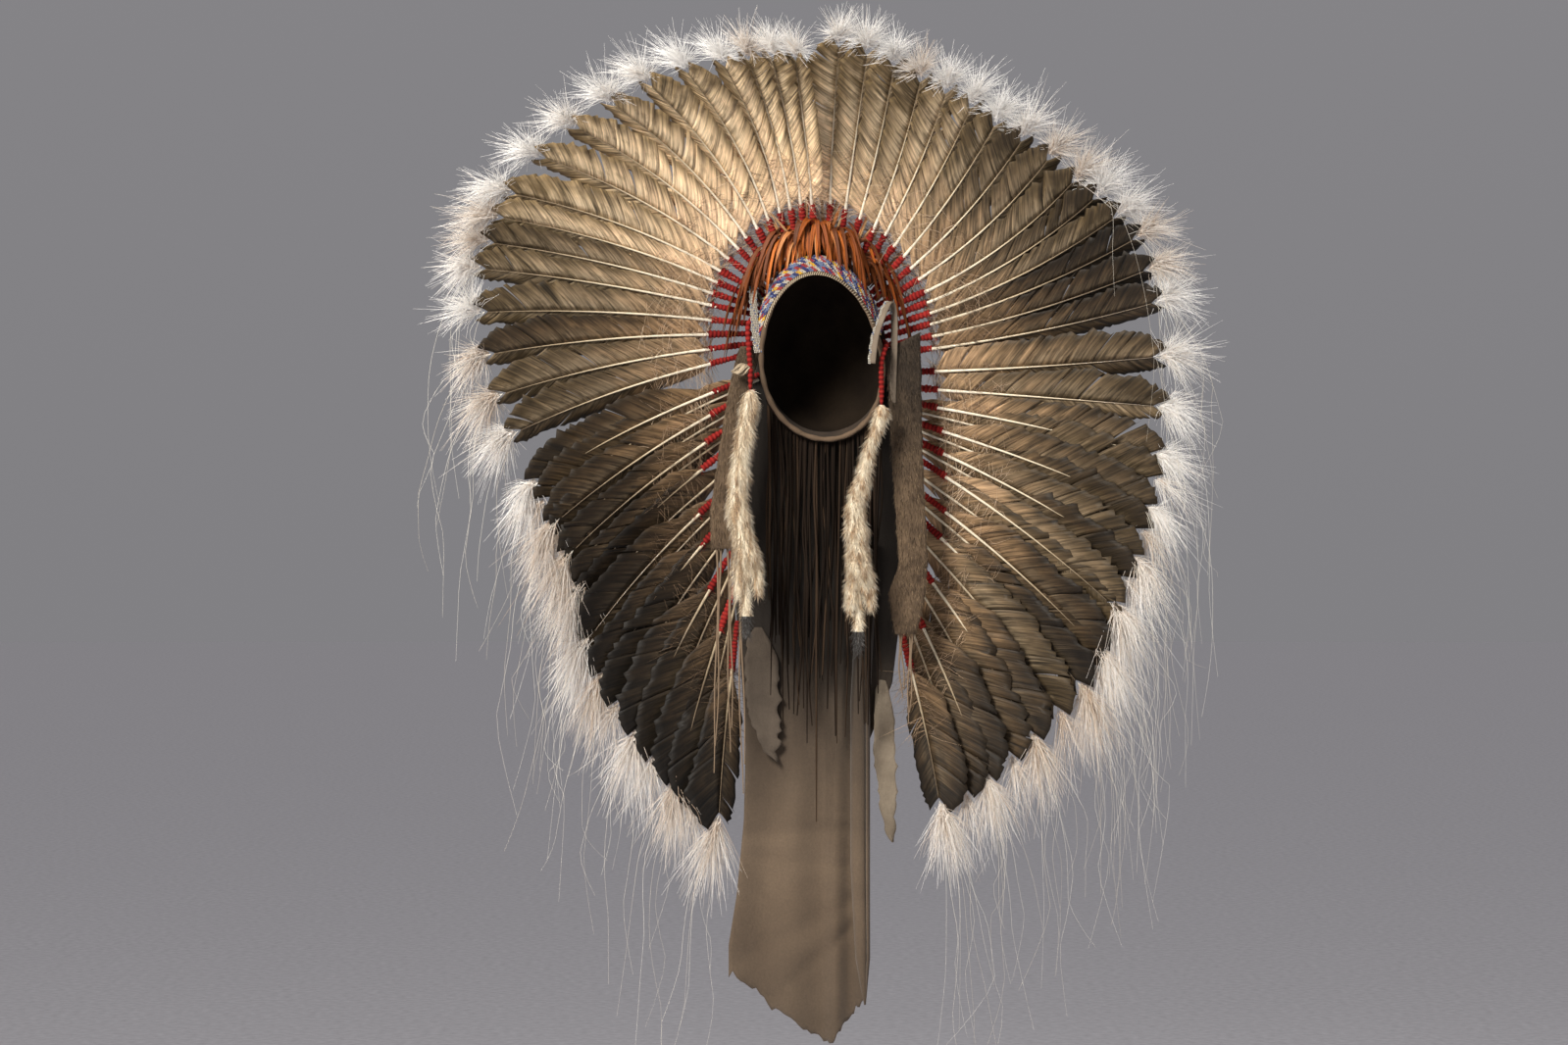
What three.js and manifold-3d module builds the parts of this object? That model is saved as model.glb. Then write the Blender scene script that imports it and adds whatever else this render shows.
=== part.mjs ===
// Feathered headdress: a hide cap with a fan of plumed feathers that runs on down both
// edges of a trail, with a beaded brow band, hackles, side flaps, ermine drops and thongs.
// Millimetres, +Z up. The origin is the middle of the head opening, and the wearer faces -Y.
import * as THREE from 'three';
import Module from 'manifold-3d';

const wasm = await Module();
wasm.setup();

// Cap
const RIM_WIDTH = 146;
const RIM_LENGTH = 226;
const RIM_TILT = 30;
const RIM_EGG = 0.1;
const RIM_SKEW = 0.06;
const CROWN_DEPTH = 135;
const CAP_WALL = 2;
const CAP_SIDES = 24;
const SEAT_GAP = 0.3;

// Brow band and hackles
const BAND_HEIGHT = 30;
const BAND_THICKNESS = 3;
const BAND_TURN = 75;
const HACKLE_TURN = 60;
const HACKLE_RISE = 34;
const HACKLE_PAD_HEIGHT = 13;
const HACKLE_PAD_THICKNESS = 6;
const HACKLE_LENGTH = 62;
const HACKLE_WIDTH = 17;

// Feathers
const RING_RISE = 55;
const FEATHER_COUNT = 26;
const SINGLE_COUNT = 18;
const FEATHER_LENGTH = 350;
const WRAP_LENGTH = 66;
const WRAP_RADIUS = 3.3;
const WIDE_VANE = 36;
const NARROW_VANE = 16;
const QUILL_THICKNESS = 2.8;
const VANE_EDGE = 0.9;
const VANE_CUP = 2;
const VANE_ROLL = 17;
const PLUME_LENGTH = 56;
const PLUME_THICKNESS = 9;
const PLUME_DROOP = 0.8;
const LACING_WIDTH = 4;
const EDGE_INSET = 9;

// Trail
const TRAIL_LENGTH = 780;
const TRAIL_HALF_WIDTH = 112;
const TRAIL_WALL = 2.5;
const TRAIL_TURN = 75;
const TRAIL_BACK = 97;
const TRAIL_FOLD = 5;
const ROLL_LENGTH = 580;
const ROLL_RADIUS = 14;
const STRIP_LENGTH = 206;
const STRIP_WIDTH = 28;
const STRIP_WALL = 2;
const TATTER_LENGTH = 168;
const TATTER_WIDTH = 44;

// Thongs at the nape
const FRINGE_TURN = 60;
const FRINGE_LENGTH = 360;
const FRINGE_HEADING = 10;
const FRINGE_WALL = 4;
const THONG_WIDTH = 9;
const THONG_THICKNESS = 4;

// Side pieces
const FLAP_LENGTH = 350;
const FLAP_WIDTH = 44;
const FLAP_WALL = 3;
const FLAP_THONG_LENGTH = 300;
const LOOP_LENGTH = 82;
const LOOP_WIDTH = 8;
const LOOP_WALL = 3;
const TIE_LENGTH = 84;
const TIE_RADIUS = 3.2;
const KNOT_SIZE = 28;
const ERMINE_LENGTH = 230;
const ERMINE_WIDTH = 30;
const ERMINE_LEG = 46;

const COLOURS = {
  hide: { color: 0x5a4433, roughness: 0.92, metalness: 0 },
  suede: { color: 0xa39684, roughness: 0.95, metalness: 0 },
  beads: { color: 0x9fb4c9, roughness: 0.35, metalness: 0 },
  hackle: { color: 0x9c4f22, roughness: 0.5, metalness: 0 },
  feather: { color: 0x8d8168, roughness: 0.7, metalness: 0 },
  thong: { color: 0x3c2a20, roughness: 0.85, metalness: 0 },
  fur: { color: 0x8a7357, roughness: 0.95, metalness: 0 },
  wool: { color: 0xa02a26, roughness: 0.9, metalness: 0 },
  ermine: { color: 0xe6dfd0, roughness: 0.95, metalness: 0 },
  cream: { color: 0xd9cfb8, roughness: 0.9, metalness: 0 },
};

// Outline of the cap from rim to crown: rise as a share of its depth, girth of the rim's
const CAP_LEVELS = [
  { rise: 0, girth: 1 },
  { rise: 0.13, girth: 1.05 },
  { rise: 0.3, girth: 1.07 },
  { rise: 0.55, girth: 1 },
  { rise: 0.8, girth: 0.74 },
  { rise: 0.95, girth: 0.38 },
  { rise: 1, girth: 0.14 },
];

// Feathers of one side, counted from the top of the fan. Clock is the angle from straight
// up and lean the angle towards the front; sweep and bow are how far both change along a
// feather. Reach is a share of FEATHER_LENGTH, turn a place on the cap's ring, drop a share
// of TRAIL_LENGTH down the trail's edge, and vane a share of both vanes' widths.
const FAN = {
  left: [
    { feather: 0, clock: 8, sweep: 6, lean: 48, bow: 30, reach: 0.86, turn: 0, drop: 0, vane: 1 },
    { feather: 3, clock: 23, sweep: 24, lean: 40, bow: 26, reach: 0.85, turn: 28, drop: 0, vane: 1 },
    { feather: 6, clock: 47, sweep: 24, lean: 29, bow: 18, reach: 0.9, turn: 47, drop: 0, vane: 1 },
    { feather: 9, clock: 71, sweep: 20, lean: 21, bow: 12, reach: 1, turn: 62, drop: 0, vane: 1 },
    { feather: 12, clock: 82, sweep: 8, lean: 18, bow: 10, reach: 1.02, turn: 76, drop: 0, vane: 1 },
    { feather: 16, clock: 110, sweep: 12, lean: 13, bow: 8, reach: 0.92, turn: 100, drop: 0, vane: 1.05 },
    { feather: 18, clock: 125, sweep: 12, lean: 11, bow: 8, reach: 0.85, turn: 100, drop: 0.022, vane: 1.12 },
    { feather: 20, clock: 134, sweep: 12, lean: 10, bow: 6, reach: 0.76, turn: 100, drop: 0.054, vane: 1.2 },
    { feather: 22, clock: 143, sweep: 10, lean: 7, bow: 6, reach: 0.75, turn: 100, drop: 0.146, vane: 1.25 },
    { feather: 25, clock: 175, sweep: 4, lean: 3, bow: 4, reach: 0.71, turn: 100, drop: 0.326, vane: 1.2 },
  ],
  right: [
    { feather: 0, clock: 3, sweep: 4, lean: 42, bow: 28, reach: 0.86, turn: 13, drop: 0, vane: 1 },
    { feather: 3, clock: 17, sweep: -12, lean: 39, bow: 25, reach: 0.82, turn: 41, drop: 0, vane: 1 },
    { feather: 6, clock: 35, sweep: -14, lean: 33.5, bow: 20, reach: 0.82, turn: 60, drop: 0, vane: 1 },
    { feather: 9, clock: 54, sweep: -24, lean: 27, bow: 14, reach: 0.89, turn: 74, drop: 0, vane: 1 },
    { feather: 12, clock: 68, sweep: -14, lean: 22, bow: 12, reach: 0.99, turn: 90, drop: 0, vane: 1 },
    { feather: 14, clock: 79, sweep: -8, lean: 19, bow: 10, reach: 1, turn: 102, drop: 0, vane: 1 },
    { feather: 17, clock: 103, sweep: 6, lean: 15, bow: 8, reach: 0.97, turn: 102, drop: 0.027, vane: 1.1 },
    { feather: 20, clock: 128, sweep: 10, lean: 12, bow: 6, reach: 0.93, turn: 102, drop: 0.061, vane: 1.2 },
    { feather: 22, clock: 137, sweep: 10, lean: 8, bow: 6, reach: 0.89, turn: 102, drop: 0.14, vane: 1.25 },
    { feather: 25, clock: 168, sweep: 6, lean: 3, bow: 4, reach: 0.67, turn: 102, drop: 0.326, vane: 1.2 },
  ],
};

// Vane outline along the blade, as shares of WIDE_VANE and NARROW_VANE
const BLADE = [
  { along: 0, wide: 0.12, narrow: 0.25 },
  { along: 0.12, wide: 0.62, narrow: 0.75 },
  { along: 0.45, wide: 0.92, narrow: 1 },
  { along: 0.87, wide: 1, narrow: 0.9 },
  { along: 1, wide: 0.3, narrow: 0.35 },
];

// Locks of a tip plume: the angle from the quill's line and the share of PLUME_LENGTH
const PLUME_LOCKS = [
  { angle: -82, reach: 0.7 },
  { angle: -42, reach: 0.95 },
  { angle: 0, reach: 1 },
  { angle: 40, reach: 0.9 },
  { angle: 80, reach: 0.75 },
];

// Trail below the cap: drop as a share of TRAIL_LENGTH, both edges as shares of
// TRAIL_HALF_WIDTH, and how far it hangs behind TRAIL_BACK as a share of TRAIL_HALF_WIDTH
const TRAIL_ROWS = [
  { drop: 0.07, left: 1, right: 1, back: 0 },
  { drop: 0.16, left: 1, right: 0.98, back: 0.04 },
  { drop: 0.3, left: 0.95, right: 0.9, back: 0.07 },
  { drop: 0.42, left: 0.88, right: 0.8, back: 0.08 },
  { drop: 0.52, left: 0.84, right: 0.52, back: 0.09 },
  { drop: 0.64, left: 0.86, right: 0.5, back: 0.08 },
  { drop: 0.76, left: 0.94, right: 0.5, back: 0.1 },
  { drop: 0.84, left: 1.03, right: 0.5, back: 0.08 },
];

// Ragged hem from the left edge to the right: drop as a share of TRAIL_LENGTH
const TRAIL_HEM = [
  { across: -1, drop: 0.885 },
  { across: -0.6, drop: 0.93 },
  { across: -0.2, drop: 0.975 },
  { across: 0.2, drop: 1 },
  { across: 0.6, drop: 0.96 },
  { across: 1, drop: 0.93 },
];

// Thongs at the nape: turn round the cap, length as a share of FRINGE_LENGTH, and sideways
// drift of the free end as a share of THONG_WIDTH
const FRINGE_THONGS = [
  { turn: -127, length: 0.94, drift: 0.4 },
  { turn: -136, length: 1.04, drift: -0.5 },
  { turn: -144, length: 0.86, drift: 0.8 },
  { turn: -152, length: 1, drift: 0.2 },
  { turn: -161, length: 0.92, drift: -0.7 },
  { turn: -170, length: 1.02, drift: 0.6 },
  { turn: -179, length: 0.95, drift: 0.3 },
  { turn: 172, length: 1.32, drift: 0.5 },
  { turn: 162, length: 0.9, drift: 0.9 },
  { turn: 153, length: 1.02, drift: -0.3 },
  { turn: 145, length: 0.88, drift: 0.5 },
  { turn: 136, length: 1.06, drift: 0.7 },
  { turn: 127, length: 0.98, drift: -0.4 },
];

// Hackles over the brow: turn round the cap, reach as a share of HACKLE_LENGTH, and fall,
// from 1 for one that droops over the band to -1 for one that stands up
const HACKLES = [
  { turn: -64, reach: 1, fall: 0.1 },
  { turn: -48, reach: 0.9, fall: 0.6 },
  { turn: -32, reach: 1, fall: 1 },
  { turn: -20, reach: 0.95, fall: 0.9 },
  { turn: -9, reach: 0.9, fall: 1 },
  { turn: 2, reach: 0.85, fall: 0.95 },
  { turn: 13, reach: 0.9, fall: 1 },
  { turn: 25, reach: 1, fall: 0.9 },
  { turn: 38, reach: 1.1, fall: 1 },
  { turn: 52, reach: 1.1, fall: 0.8 },
];

// Flaps from top to bottom: drop as a share of FLAP_LENGTH, both edges as shares of
// FLAP_WIDTH outwards from the cap's flank, back as a share of FLAP_WIDTH, and how far the
// outer edge is raised as a share of FLAP_LENGTH
const FLAPS = {
  left: [
    { drop: -0.01, inner: -0.1, outer: 0.5, back: -0.1, raise: 0 },
    { drop: 0.1, inner: 0.12, outer: 0.75, back: 0.05, raise: 0 },
    { drop: 0.32, inner: 0.35, outer: 1.05, back: 0.3, raise: 0 },
    { drop: 0.58, inner: 0.62, outer: 1.35, back: 0.5, raise: 0 },
    { drop: 0.7, inner: 0.36, outer: 1.3, back: 0.55, raise: 0 },
  ],
  right: [
    { drop: 0.01, inner: -0.1, outer: 0.98, back: -0.1, raise: 0.07 },
    { drop: 0.1, inner: 0.1, outer: 1.02, back: 0.05, raise: 0.03 },
    { drop: 0.35, inner: 0.2, outer: 1.06, back: 0.3, raise: 0 },
    { drop: 0.75, inner: 0.42, outer: 1.22, back: 0.5, raise: 0 },
    { drop: 0.86, inner: 0.12, outer: 1.16, back: 0.55, raise: 0 },
    { drop: 1, inner: 0.3, outer: 0.9, back: 0.55, raise: 0 },
  ],
};

// Thongs below each flap: out as a share of FLAP_WIDTH, length of FLAP_THONG_LENGTH
const FLAP_THONGS = {
  left: [
    { out: 0.5, length: 1, drift: 0.5 },
    { out: 0.8, length: 0.84, drift: 0.2 },
    { out: 1.1, length: 0.92, drift: -0.6 },
  ],
  right: [
    { out: 0.45, length: 0.3, drift: 0.4 },
    { out: 0.75, length: 0.4, drift: -0.3 },
  ],
};

// Beaded loops, as shares of LOOP_LENGTH outwards, ahead and down from the cap's flank
const LOOPS = {
  left: [
    { out: 0, ahead: 0.2, down: 0.05 },
    { out: 0.05, ahead: 0.2, down: -0.45 },
    { out: 0.07, ahead: 0.15, down: -0.84 },
    { out: 0.07, ahead: 0.06, down: -0.93 },
    { out: 0.04, ahead: -0.02, down: -0.84 },
    { out: -0.14, ahead: -0.02, down: -0.56 },
  ],
  right: [
    { out: -0.2, ahead: 0.46, down: 0.23 },
    { out: -0.15, ahead: 0.45, down: -0.16 },
    { out: -0.05, ahead: 0.38, down: -0.46 },
    { out: 0.06, ahead: 0.26, down: -0.69 },
    { out: 0.13, ahead: 0.17, down: -0.58 },
    { out: 0.14, ahead: 0.14, down: -0.16 },
    { out: 0.13, ahead: 0.02, down: 0.3 },
    { out: 0.12, ahead: -0.06, down: 0.8 },
  ],
};

// Wool-wrapped ties, as shares of TIE_LENGTH outwards, ahead and down from the flank, with
// the width as a share of the wrap's own
const TIES = {
  left: [
    { out: -0.08, ahead: -0.06, down: -0.5, width: 1 },
    { out: 0.13, ahead: 0.14, down: -0.38, width: 1 },
    { out: 0.13, ahead: 0.19, down: 0, width: 1 },
    { out: 0.11, ahead: 0.19, down: 0.27, width: 1 },
    { out: 0.11, ahead: 0.19, down: 0.6, width: 0.6 },
  ],
  right: [
    { out: -0.08, ahead: -0.02, down: -0.12, width: 1 },
    { out: 0.02, ahead: 0.14, down: -0.08, width: 1 },
    { out: -0.01, ahead: 0.28, down: 0.03, width: 1 },
    { out: -0.055, ahead: 0.31, down: 0.2, width: 1 },
    { out: -0.055, ahead: 0.31, down: 0.55, width: 1 },
    { out: -0.055, ahead: 0.31, down: 0.82, width: 0.6 },
  ],
};

// Ermine skins below the ties, as shares of ERMINE_LENGTH sideways and down, with the
// width as a share of ERMINE_WIDTH
const ERMINES = {
  left: [
    { out: 0, down: 0, width: 0.35 },
    { out: 0, down: 0.06, width: 0.68 },
    { out: 0.05, down: 0.36, width: 0.72 },
    { out: 0.07, down: 0.62, width: 0.86 },
    { out: 0.01, down: 0.9, width: 1 },
    { out: 0.01, down: 1, width: 0.7 },
  ],
  right: [
    { out: 0, down: 0, width: 0.4 },
    { out: 0, down: 0.05, width: 0.56 },
    { out: -0.06, down: 0.22, width: 0.4 },
    { out: -0.14, down: 0.55, width: 0.82 },
    { out: -0.12, down: 0.86, width: 1 },
    { out: -0.08, down: 1, width: 0.7 },
  ],
};

const SIDES = { left: -1, right: 1 };
const DOWN = new THREE.Vector3(0, 0, -1);
const FRONT = new THREE.Vector3(0, -1, 0);
const RIGHT = new THREE.Vector3(1, 0, 0);

const radians = THREE.MathUtils.degToRad;
const vector = (x, y, z) => new THREE.Vector3(x, y, z);
const tilt = radians(RIM_TILT);
const BROW = vector(0, -Math.sin(tilt), Math.cos(tilt));
const CROWN = vector(0, Math.cos(tilt), Math.sin(tilt));

const headdress = new THREE.Group();

// Value of a table's column at a place, on straight lines between its rows
function between(rows, key, place, column) {
  const last = rows.length - 1;
  if (place <= rows[0][key]) return rows[0][column];
  if (place >= rows[last][key]) return rows[last][column];
  const next = rows.findIndex((row) => row[key] > place);
  const low = rows[next - 1];
  const high = rows[next];
  const share = (place - low[key]) / (high[key] - low[key]);
  return THREE.MathUtils.lerp(low[column], high[column], share);
}

// Closed solid from points and triangles, turned so that its faces point out
function solidOf(points, faces) {
  let volume = 0;
  for (let index = 0; index < faces.length; index += 3) {
    const [a, b, c] = [0, 1, 2].map((corner) => points[faces[index + corner]]);
    volume += a.dot(b.clone().cross(c));
  }
  const turned = volume > 0 ? faces : [...faces].reverse();
  return new wasm.Manifold(new wasm.Mesh({
    numProp: 3,
    vertProperties: new Float32Array(points.flatMap((point) => point.toArray())),
    triVerts: new Uint32Array(turned),
  }));
}

// Solid through a row of rings that all have the same number of points
function loft(rings) {
  const count = rings[0].length;
  const last = (rings.length - 1) * count;
  const faces = [];
  for (let start = 0; start < last; start += count) {
    for (let corner = 0; corner < count; corner++) {
      const here = start + corner;
      const next = start + (corner + 1) % count;
      faces.push(here, next, next + count, here, next + count, here + count);
    }
  }
  for (let corner = 1; corner + 1 < count; corner++) {
    faces.push(0, corner + 1, corner, last, last + corner, last + corner + 1);
  }
  return solidOf(rings.flat(), faces);
}

// Sheet between a front grid and a back grid of points, closed round its edges
function sheet(front, back) {
  const rows = front.length;
  const columns = front[0].length;
  const behind = rows * columns;
  const faces = [];
  const quad = (a, b, c, d) => faces.push(a, b, c, a, c, d);
  const at = (row, column) => row * columns + column;
  for (let row = 0; row + 1 < rows; row++) {
    for (let column = 0; column + 1 < columns; column++) {
      const corners = [at(row, column), at(row + 1, column), at(row + 1, column + 1), at(row, column + 1)];
      quad(...corners);
      quad(...corners.map((corner) => corner + behind).reverse());
    }
    const right = columns - 1;
    quad(at(row, 0), at(row, 0) + behind, at(row + 1, 0) + behind, at(row + 1, 0));
    quad(at(row + 1, right), at(row + 1, right) + behind, at(row, right) + behind, at(row, right));
  }
  for (let column = 0; column + 1 < columns; column++) {
    const bottom = rows - 1;
    quad(at(0, column + 1), at(0, column + 1) + behind, at(0, column) + behind, at(0, column));
    const [low, next] = [at(bottom, column), at(bottom, column + 1)];
    quad(low, low + behind, next + behind, next);
  }
  return solidOf([...front.flat(), ...back.flat()], faces);
}

// Solid along a path, with a width and a thickness at each of its points
function strand(path, widths, thicknesses, corners, across = RIGHT) {
  const rings = path.map((point, index) => {
    const before = path[Math.max(index - 1, 0)];
    const after = path[Math.min(index + 1, path.length - 1)];
    const along = after.clone().sub(before).normalize();
    const side = across.clone().addScaledVector(along, -across.dot(along)).normalize();
    const face = along.clone().cross(side);
    return Array.from({ length: corners }, (_, corner) => {
      const angle = 2 * Math.PI * (corner + 0.5) / corners;
      return point.clone()
        .addScaledVector(side, Math.cos(angle) * widths[index] / 2)
        .addScaledVector(face, Math.sin(angle) * thicknesses[index] / 2);
    });
  });
  return loft(rings);
}

function union(solids) {
  return solids.reduce((whole, solid) => whole.add(solid));
}

function largest(solid) {
  const pieces = solid.decompose();
  return pieces.reduce((best, piece) => (piece.volume() > best.volume() ? piece : best));
}

// Adds a solid to the headdress as a named mesh, placed at its own reference point
function place(name, solid, finish, at = vector(0, 0, 0)) {
  const { vertProperties, triVerts } = solid.getMesh();
  const geometry = new THREE.BufferGeometry();
  geometry.setAttribute('position', new THREE.BufferAttribute(new Float32Array(vertProperties), 3));
  geometry.setIndex(new THREE.BufferAttribute(new Uint32Array(triVerts), 1));
  geometry.translate(-at.x, -at.y, -at.z);
  geometry.computeVertexNormals();
  const mesh = new THREE.Mesh(geometry, new THREE.MeshStandardMaterial(finish));
  mesh.name = name;
  mesh.position.copy(at);
  headdress.add(mesh);
}

// Point on the cap: turn in degrees from the brow towards the wearer's left, rise as a
// share of the depth, grow outwards from the head's own surface
function capPoint(turn, rise, grow) {
  const angle = radians(turn);
  const girth = between(CAP_LEVELS, 'rise', rise, 'girth');
  const ahead = Math.cos(angle) * (RIM_LENGTH / 2 * girth + grow);
  const egg = 1 - RIM_EGG * Math.cos(angle);
  const aside = Math.sin(angle) * (RIM_WIDTH / 2 * girth + grow) * egg;
  return vector(aside - RIM_SKEW * ahead, 0, 0)
    .addScaledVector(BROW, ahead)
    .addScaledVector(CROWN, rise * (CROWN_DEPTH + grow));
}

function capSolid(grow, rises) {
  return loft(rises.map((rise) => Array.from(
    { length: CAP_SIDES },
    (_, side) => capPoint(side * 360 / CAP_SIDES, rise, grow),
  )));
}

const capRises = CAP_LEVELS.map((level) => level.rise);
const hollowRises = [-0.1, ...capRises.slice(1)];
const capOutside = CAP_WALL + SEAT_GAP;
const capSeat = capSolid(capOutside, [-0.02, ...capRises.slice(1)]);

function buildCap() {
  const shell = capSolid(CAP_WALL, capRises).subtract(capSolid(0, hollowRises));
  place('cap', shell, COLOURS.hide);
}

// Curved strip on the cap's outside, centred at a turn, with its edges let out by a margin
function capStrip(middle, halfTurn, heights, thickness, margin = 0) {
  const step = 360 / CAP_SIDES;
  const turns = [];
  for (let turn = -halfTurn; turn <= halfTurn; turn += step) turns.push(middle + turn);
  const last = turns.length - 1;
  const letOut = THREE.MathUtils.radToDeg(margin / (RIM_WIDTH / 2));
  turns[0] -= letOut;
  turns[last] += letOut;
  const levels = heights.map((height, index) => {
    if (index === 0) return height - margin;
    return index === heights.length - 1 ? height + margin : height;
  });
  const grid = (grow) => levels.map((height) => turns.map(
    (turn) => capPoint(turn, height / CROWN_DEPTH, grow),
  ));
  return sheet(grid(capOutside + thickness + margin), grid(capOutside - margin));
}

const [, bandMiddle, padMiddle] = capRises.map((rise) => rise * CROWN_DEPTH);
const bandHeights = [0, bandMiddle, BAND_HEIGHT];
const bandSeat = capStrip(0, BAND_TURN, bandHeights, BAND_THICKNESS, SEAT_GAP);

function buildBrowBand() {
  place('brow_band', capStrip(0, BAND_TURN, bandHeights, BAND_THICKNESS), COLOURS.beads);
}

const padHeights = [HACKLE_RISE, padMiddle, HACKLE_RISE + HACKLE_PAD_HEIGHT];

function buildHackles() {
  const pad = capStrip(0, HACKLE_TURN, padHeights, HACKLE_PAD_THICKNESS);
  const locks = HACKLES.map(({ turn, reach, fall }) => {
    const rise = (HACKLE_RISE + HACKLE_PAD_HEIGHT / 2) / CROWN_DEPTH;
    const root = capPoint(turn, rise, capOutside + HACKLE_PAD_THICKNESS / 2);
    const outward = root.clone().sub(capPoint(turn, rise, 0)).normalize();
    const length = HACKLE_LENGTH * reach;
    const path = [0, 0.3, 0.65, 1].map((share) => root.clone()
      .addScaledVector(outward, length * (0.5 * share - 0.18 * fall * share * share))
      .addScaledVector(CROWN, -length * 0.75 * fall * share * share)
      .addScaledVector(DOWN, length * 0.25 * fall * share));
    const widths = [0.5, 1, 0.8, 0.15].map((share) => share * HACKLE_WIDTH);
    const thicknesses = [0.7, 0.6, 0.4, 0.2].map((share) => share * HACKLE_PAD_THICKNESS);
    const across = capPoint(turn + 5, rise, 0).sub(capPoint(turn - 5, rise, 0)).normalize();
    return strand(path, widths, thicknesses, 4, across);
  });
  place('brow_plume', largest(union([pad, ...locks]).subtract(bandSeat)), COLOURS.hackle);
}

// Trail's height at a drop: it starts on the cap's ring over the nape
const ringShare = RING_RISE / CROWN_DEPTH;
const napeRing = capPoint(180, ringShare, capOutside);
const trailTurns = [];
for (let turn = -TRAIL_TURN; turn <= TRAIL_TURN; turn += 360 / CAP_SIDES) trailTurns.push(turn);

// Point of the trail: across from -1 at the left edge to 1 at the right
function trailPoint(across, row, drop, away) {
  const half = TRAIL_HALF_WIDTH * (across < 0 ? row.left : row.right);
  const fold = TRAIL_FOLD * Math.cos(3 * Math.PI * across) * drop;
  const back = TRAIL_BACK + row.back * TRAIL_HALF_WIDTH + fold + away;
  return vector(across * half, back, napeRing.z - drop * TRAIL_LENGTH);
}

// Grid of the trail, with its face moved back by away and its side edges out by margin
function trailGrid(away, margin = 0) {
  const shares = trailTurns.map((turn) => turn / TRAIL_TURN);
  const top = trailTurns.map((turn) => capPoint(180 - turn, ringShare, capOutside + away));
  const rows = TRAIL_ROWS.map((row) => shares.map((across) => trailPoint(across, row, row.drop, away)));
  const low = TRAIL_ROWS[TRAIL_ROWS.length - 1];
  const hemRow = { ...low, left: low.left + 0.07 };
  const hem = shares.map((across) => {
    const drop = between(TRAIL_HEM, 'across', across, 'drop');
    return trailPoint(across, hemRow, drop, away);
  });
  const grid = [top, ...rows, hem];
  for (const row of grid) {
    for (const [edge, inner] of [[row[0], row[1]], [row[row.length - 1], row[row.length - 2]]]) {
      edge.addScaledVector(edge.clone().sub(inner).normalize(), margin);
    }
  }
  return grid;
}

function buildTrail() {
  place('trail_panel', sheet(trailGrid(0), trailGrid(TRAIL_WALL)), COLOURS.suede);
}

// Point on the trail's front edge: the ring at drop 0, then down the rows
function trailEdge(side, drop) {
  const grid = trailGrid(0);
  const column = side < 0 ? 0 : trailTurns.length - 1;
  const drops = [0, ...TRAIL_ROWS.map((row) => row.drop)];
  const next = Math.max(1, drops.findIndex((value) => value >= drop));
  const share = (drop - drops[next - 1]) / (drops[next] - drops[next - 1]);
  return grid[next - 1][column].clone().lerp(grid[next][column], share);
}

// Everything behind the trail's face, from SEAT_GAP in front of it
const trailSeat = sheet(trailGrid(-SEAT_GAP, SEAT_GAP), trailGrid(TRAIL_HALF_WIDTH / 3, SEAT_GAP));

// One feather's numbers at a place in the fan, which need not be whole
function fanAt(side, feather) {
  const rows = side < 0 ? FAN.left : FAN.right;
  const value = (column) => between(rows, 'feather', feather, column);
  return {
    clock: value('clock'),
    sweep: value('sweep'),
    lean: value('lean'),
    bow: value('bow'),
    length: value('reach') * FEATHER_LENGTH,
    turn: value('turn'),
    drop: value('drop'),
    vane: value('vane'),
  };
}

function heading(side, fan, share) {
  const clock = radians(fan.clock + fan.sweep * (share - 0.5));
  const lean = radians(fan.lean + fan.bow * (share - 0.5));
  return vector(side * Math.sin(clock) * Math.cos(lean), -Math.sin(lean), Math.cos(clock) * Math.cos(lean));
}

// Quill's line: points from the seat to the tip at each of the distances
function quillLine(side, feather, distances) {
  const fan = fanAt(side, feather);
  const bladeLength = fan.length - WRAP_LENGTH;
  const bend = (distance) => Math.max(0, distance - WRAP_LENGTH) / bladeLength;
  const first = heading(side, fan, 0);
  let point = capPoint(side * fan.turn, ringShare, CAP_WALL).addScaledVector(first, -WRAP_RADIUS);
  if (fan.drop > 0) {
    point = trailEdge(side, fan.drop)
      .addScaledVector(first, -EDGE_INSET)
      .addScaledVector(FRONT, WRAP_RADIUS + SEAT_GAP);
  }
  const line = [];
  let reached = 0;
  for (const distance of distances) {
    const along = heading(side, fan, bend((reached + distance) / 2));
    point = point.clone().addScaledVector(along, distance - reached);
    reached = distance;
    line.push({ point, along: heading(side, fan, bend(distance)) });
  }
  return line;
}

// Distances along a feather: both ends of the wrap, then the blade's rows
function featherDistances(length) {
  const bladeStart = WRAP_LENGTH + WRAP_RADIUS;
  const blade = BLADE.map((row) => bladeStart + row.along * (length - bladeStart));
  return [0, WRAP_LENGTH, ...blade];
}

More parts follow.
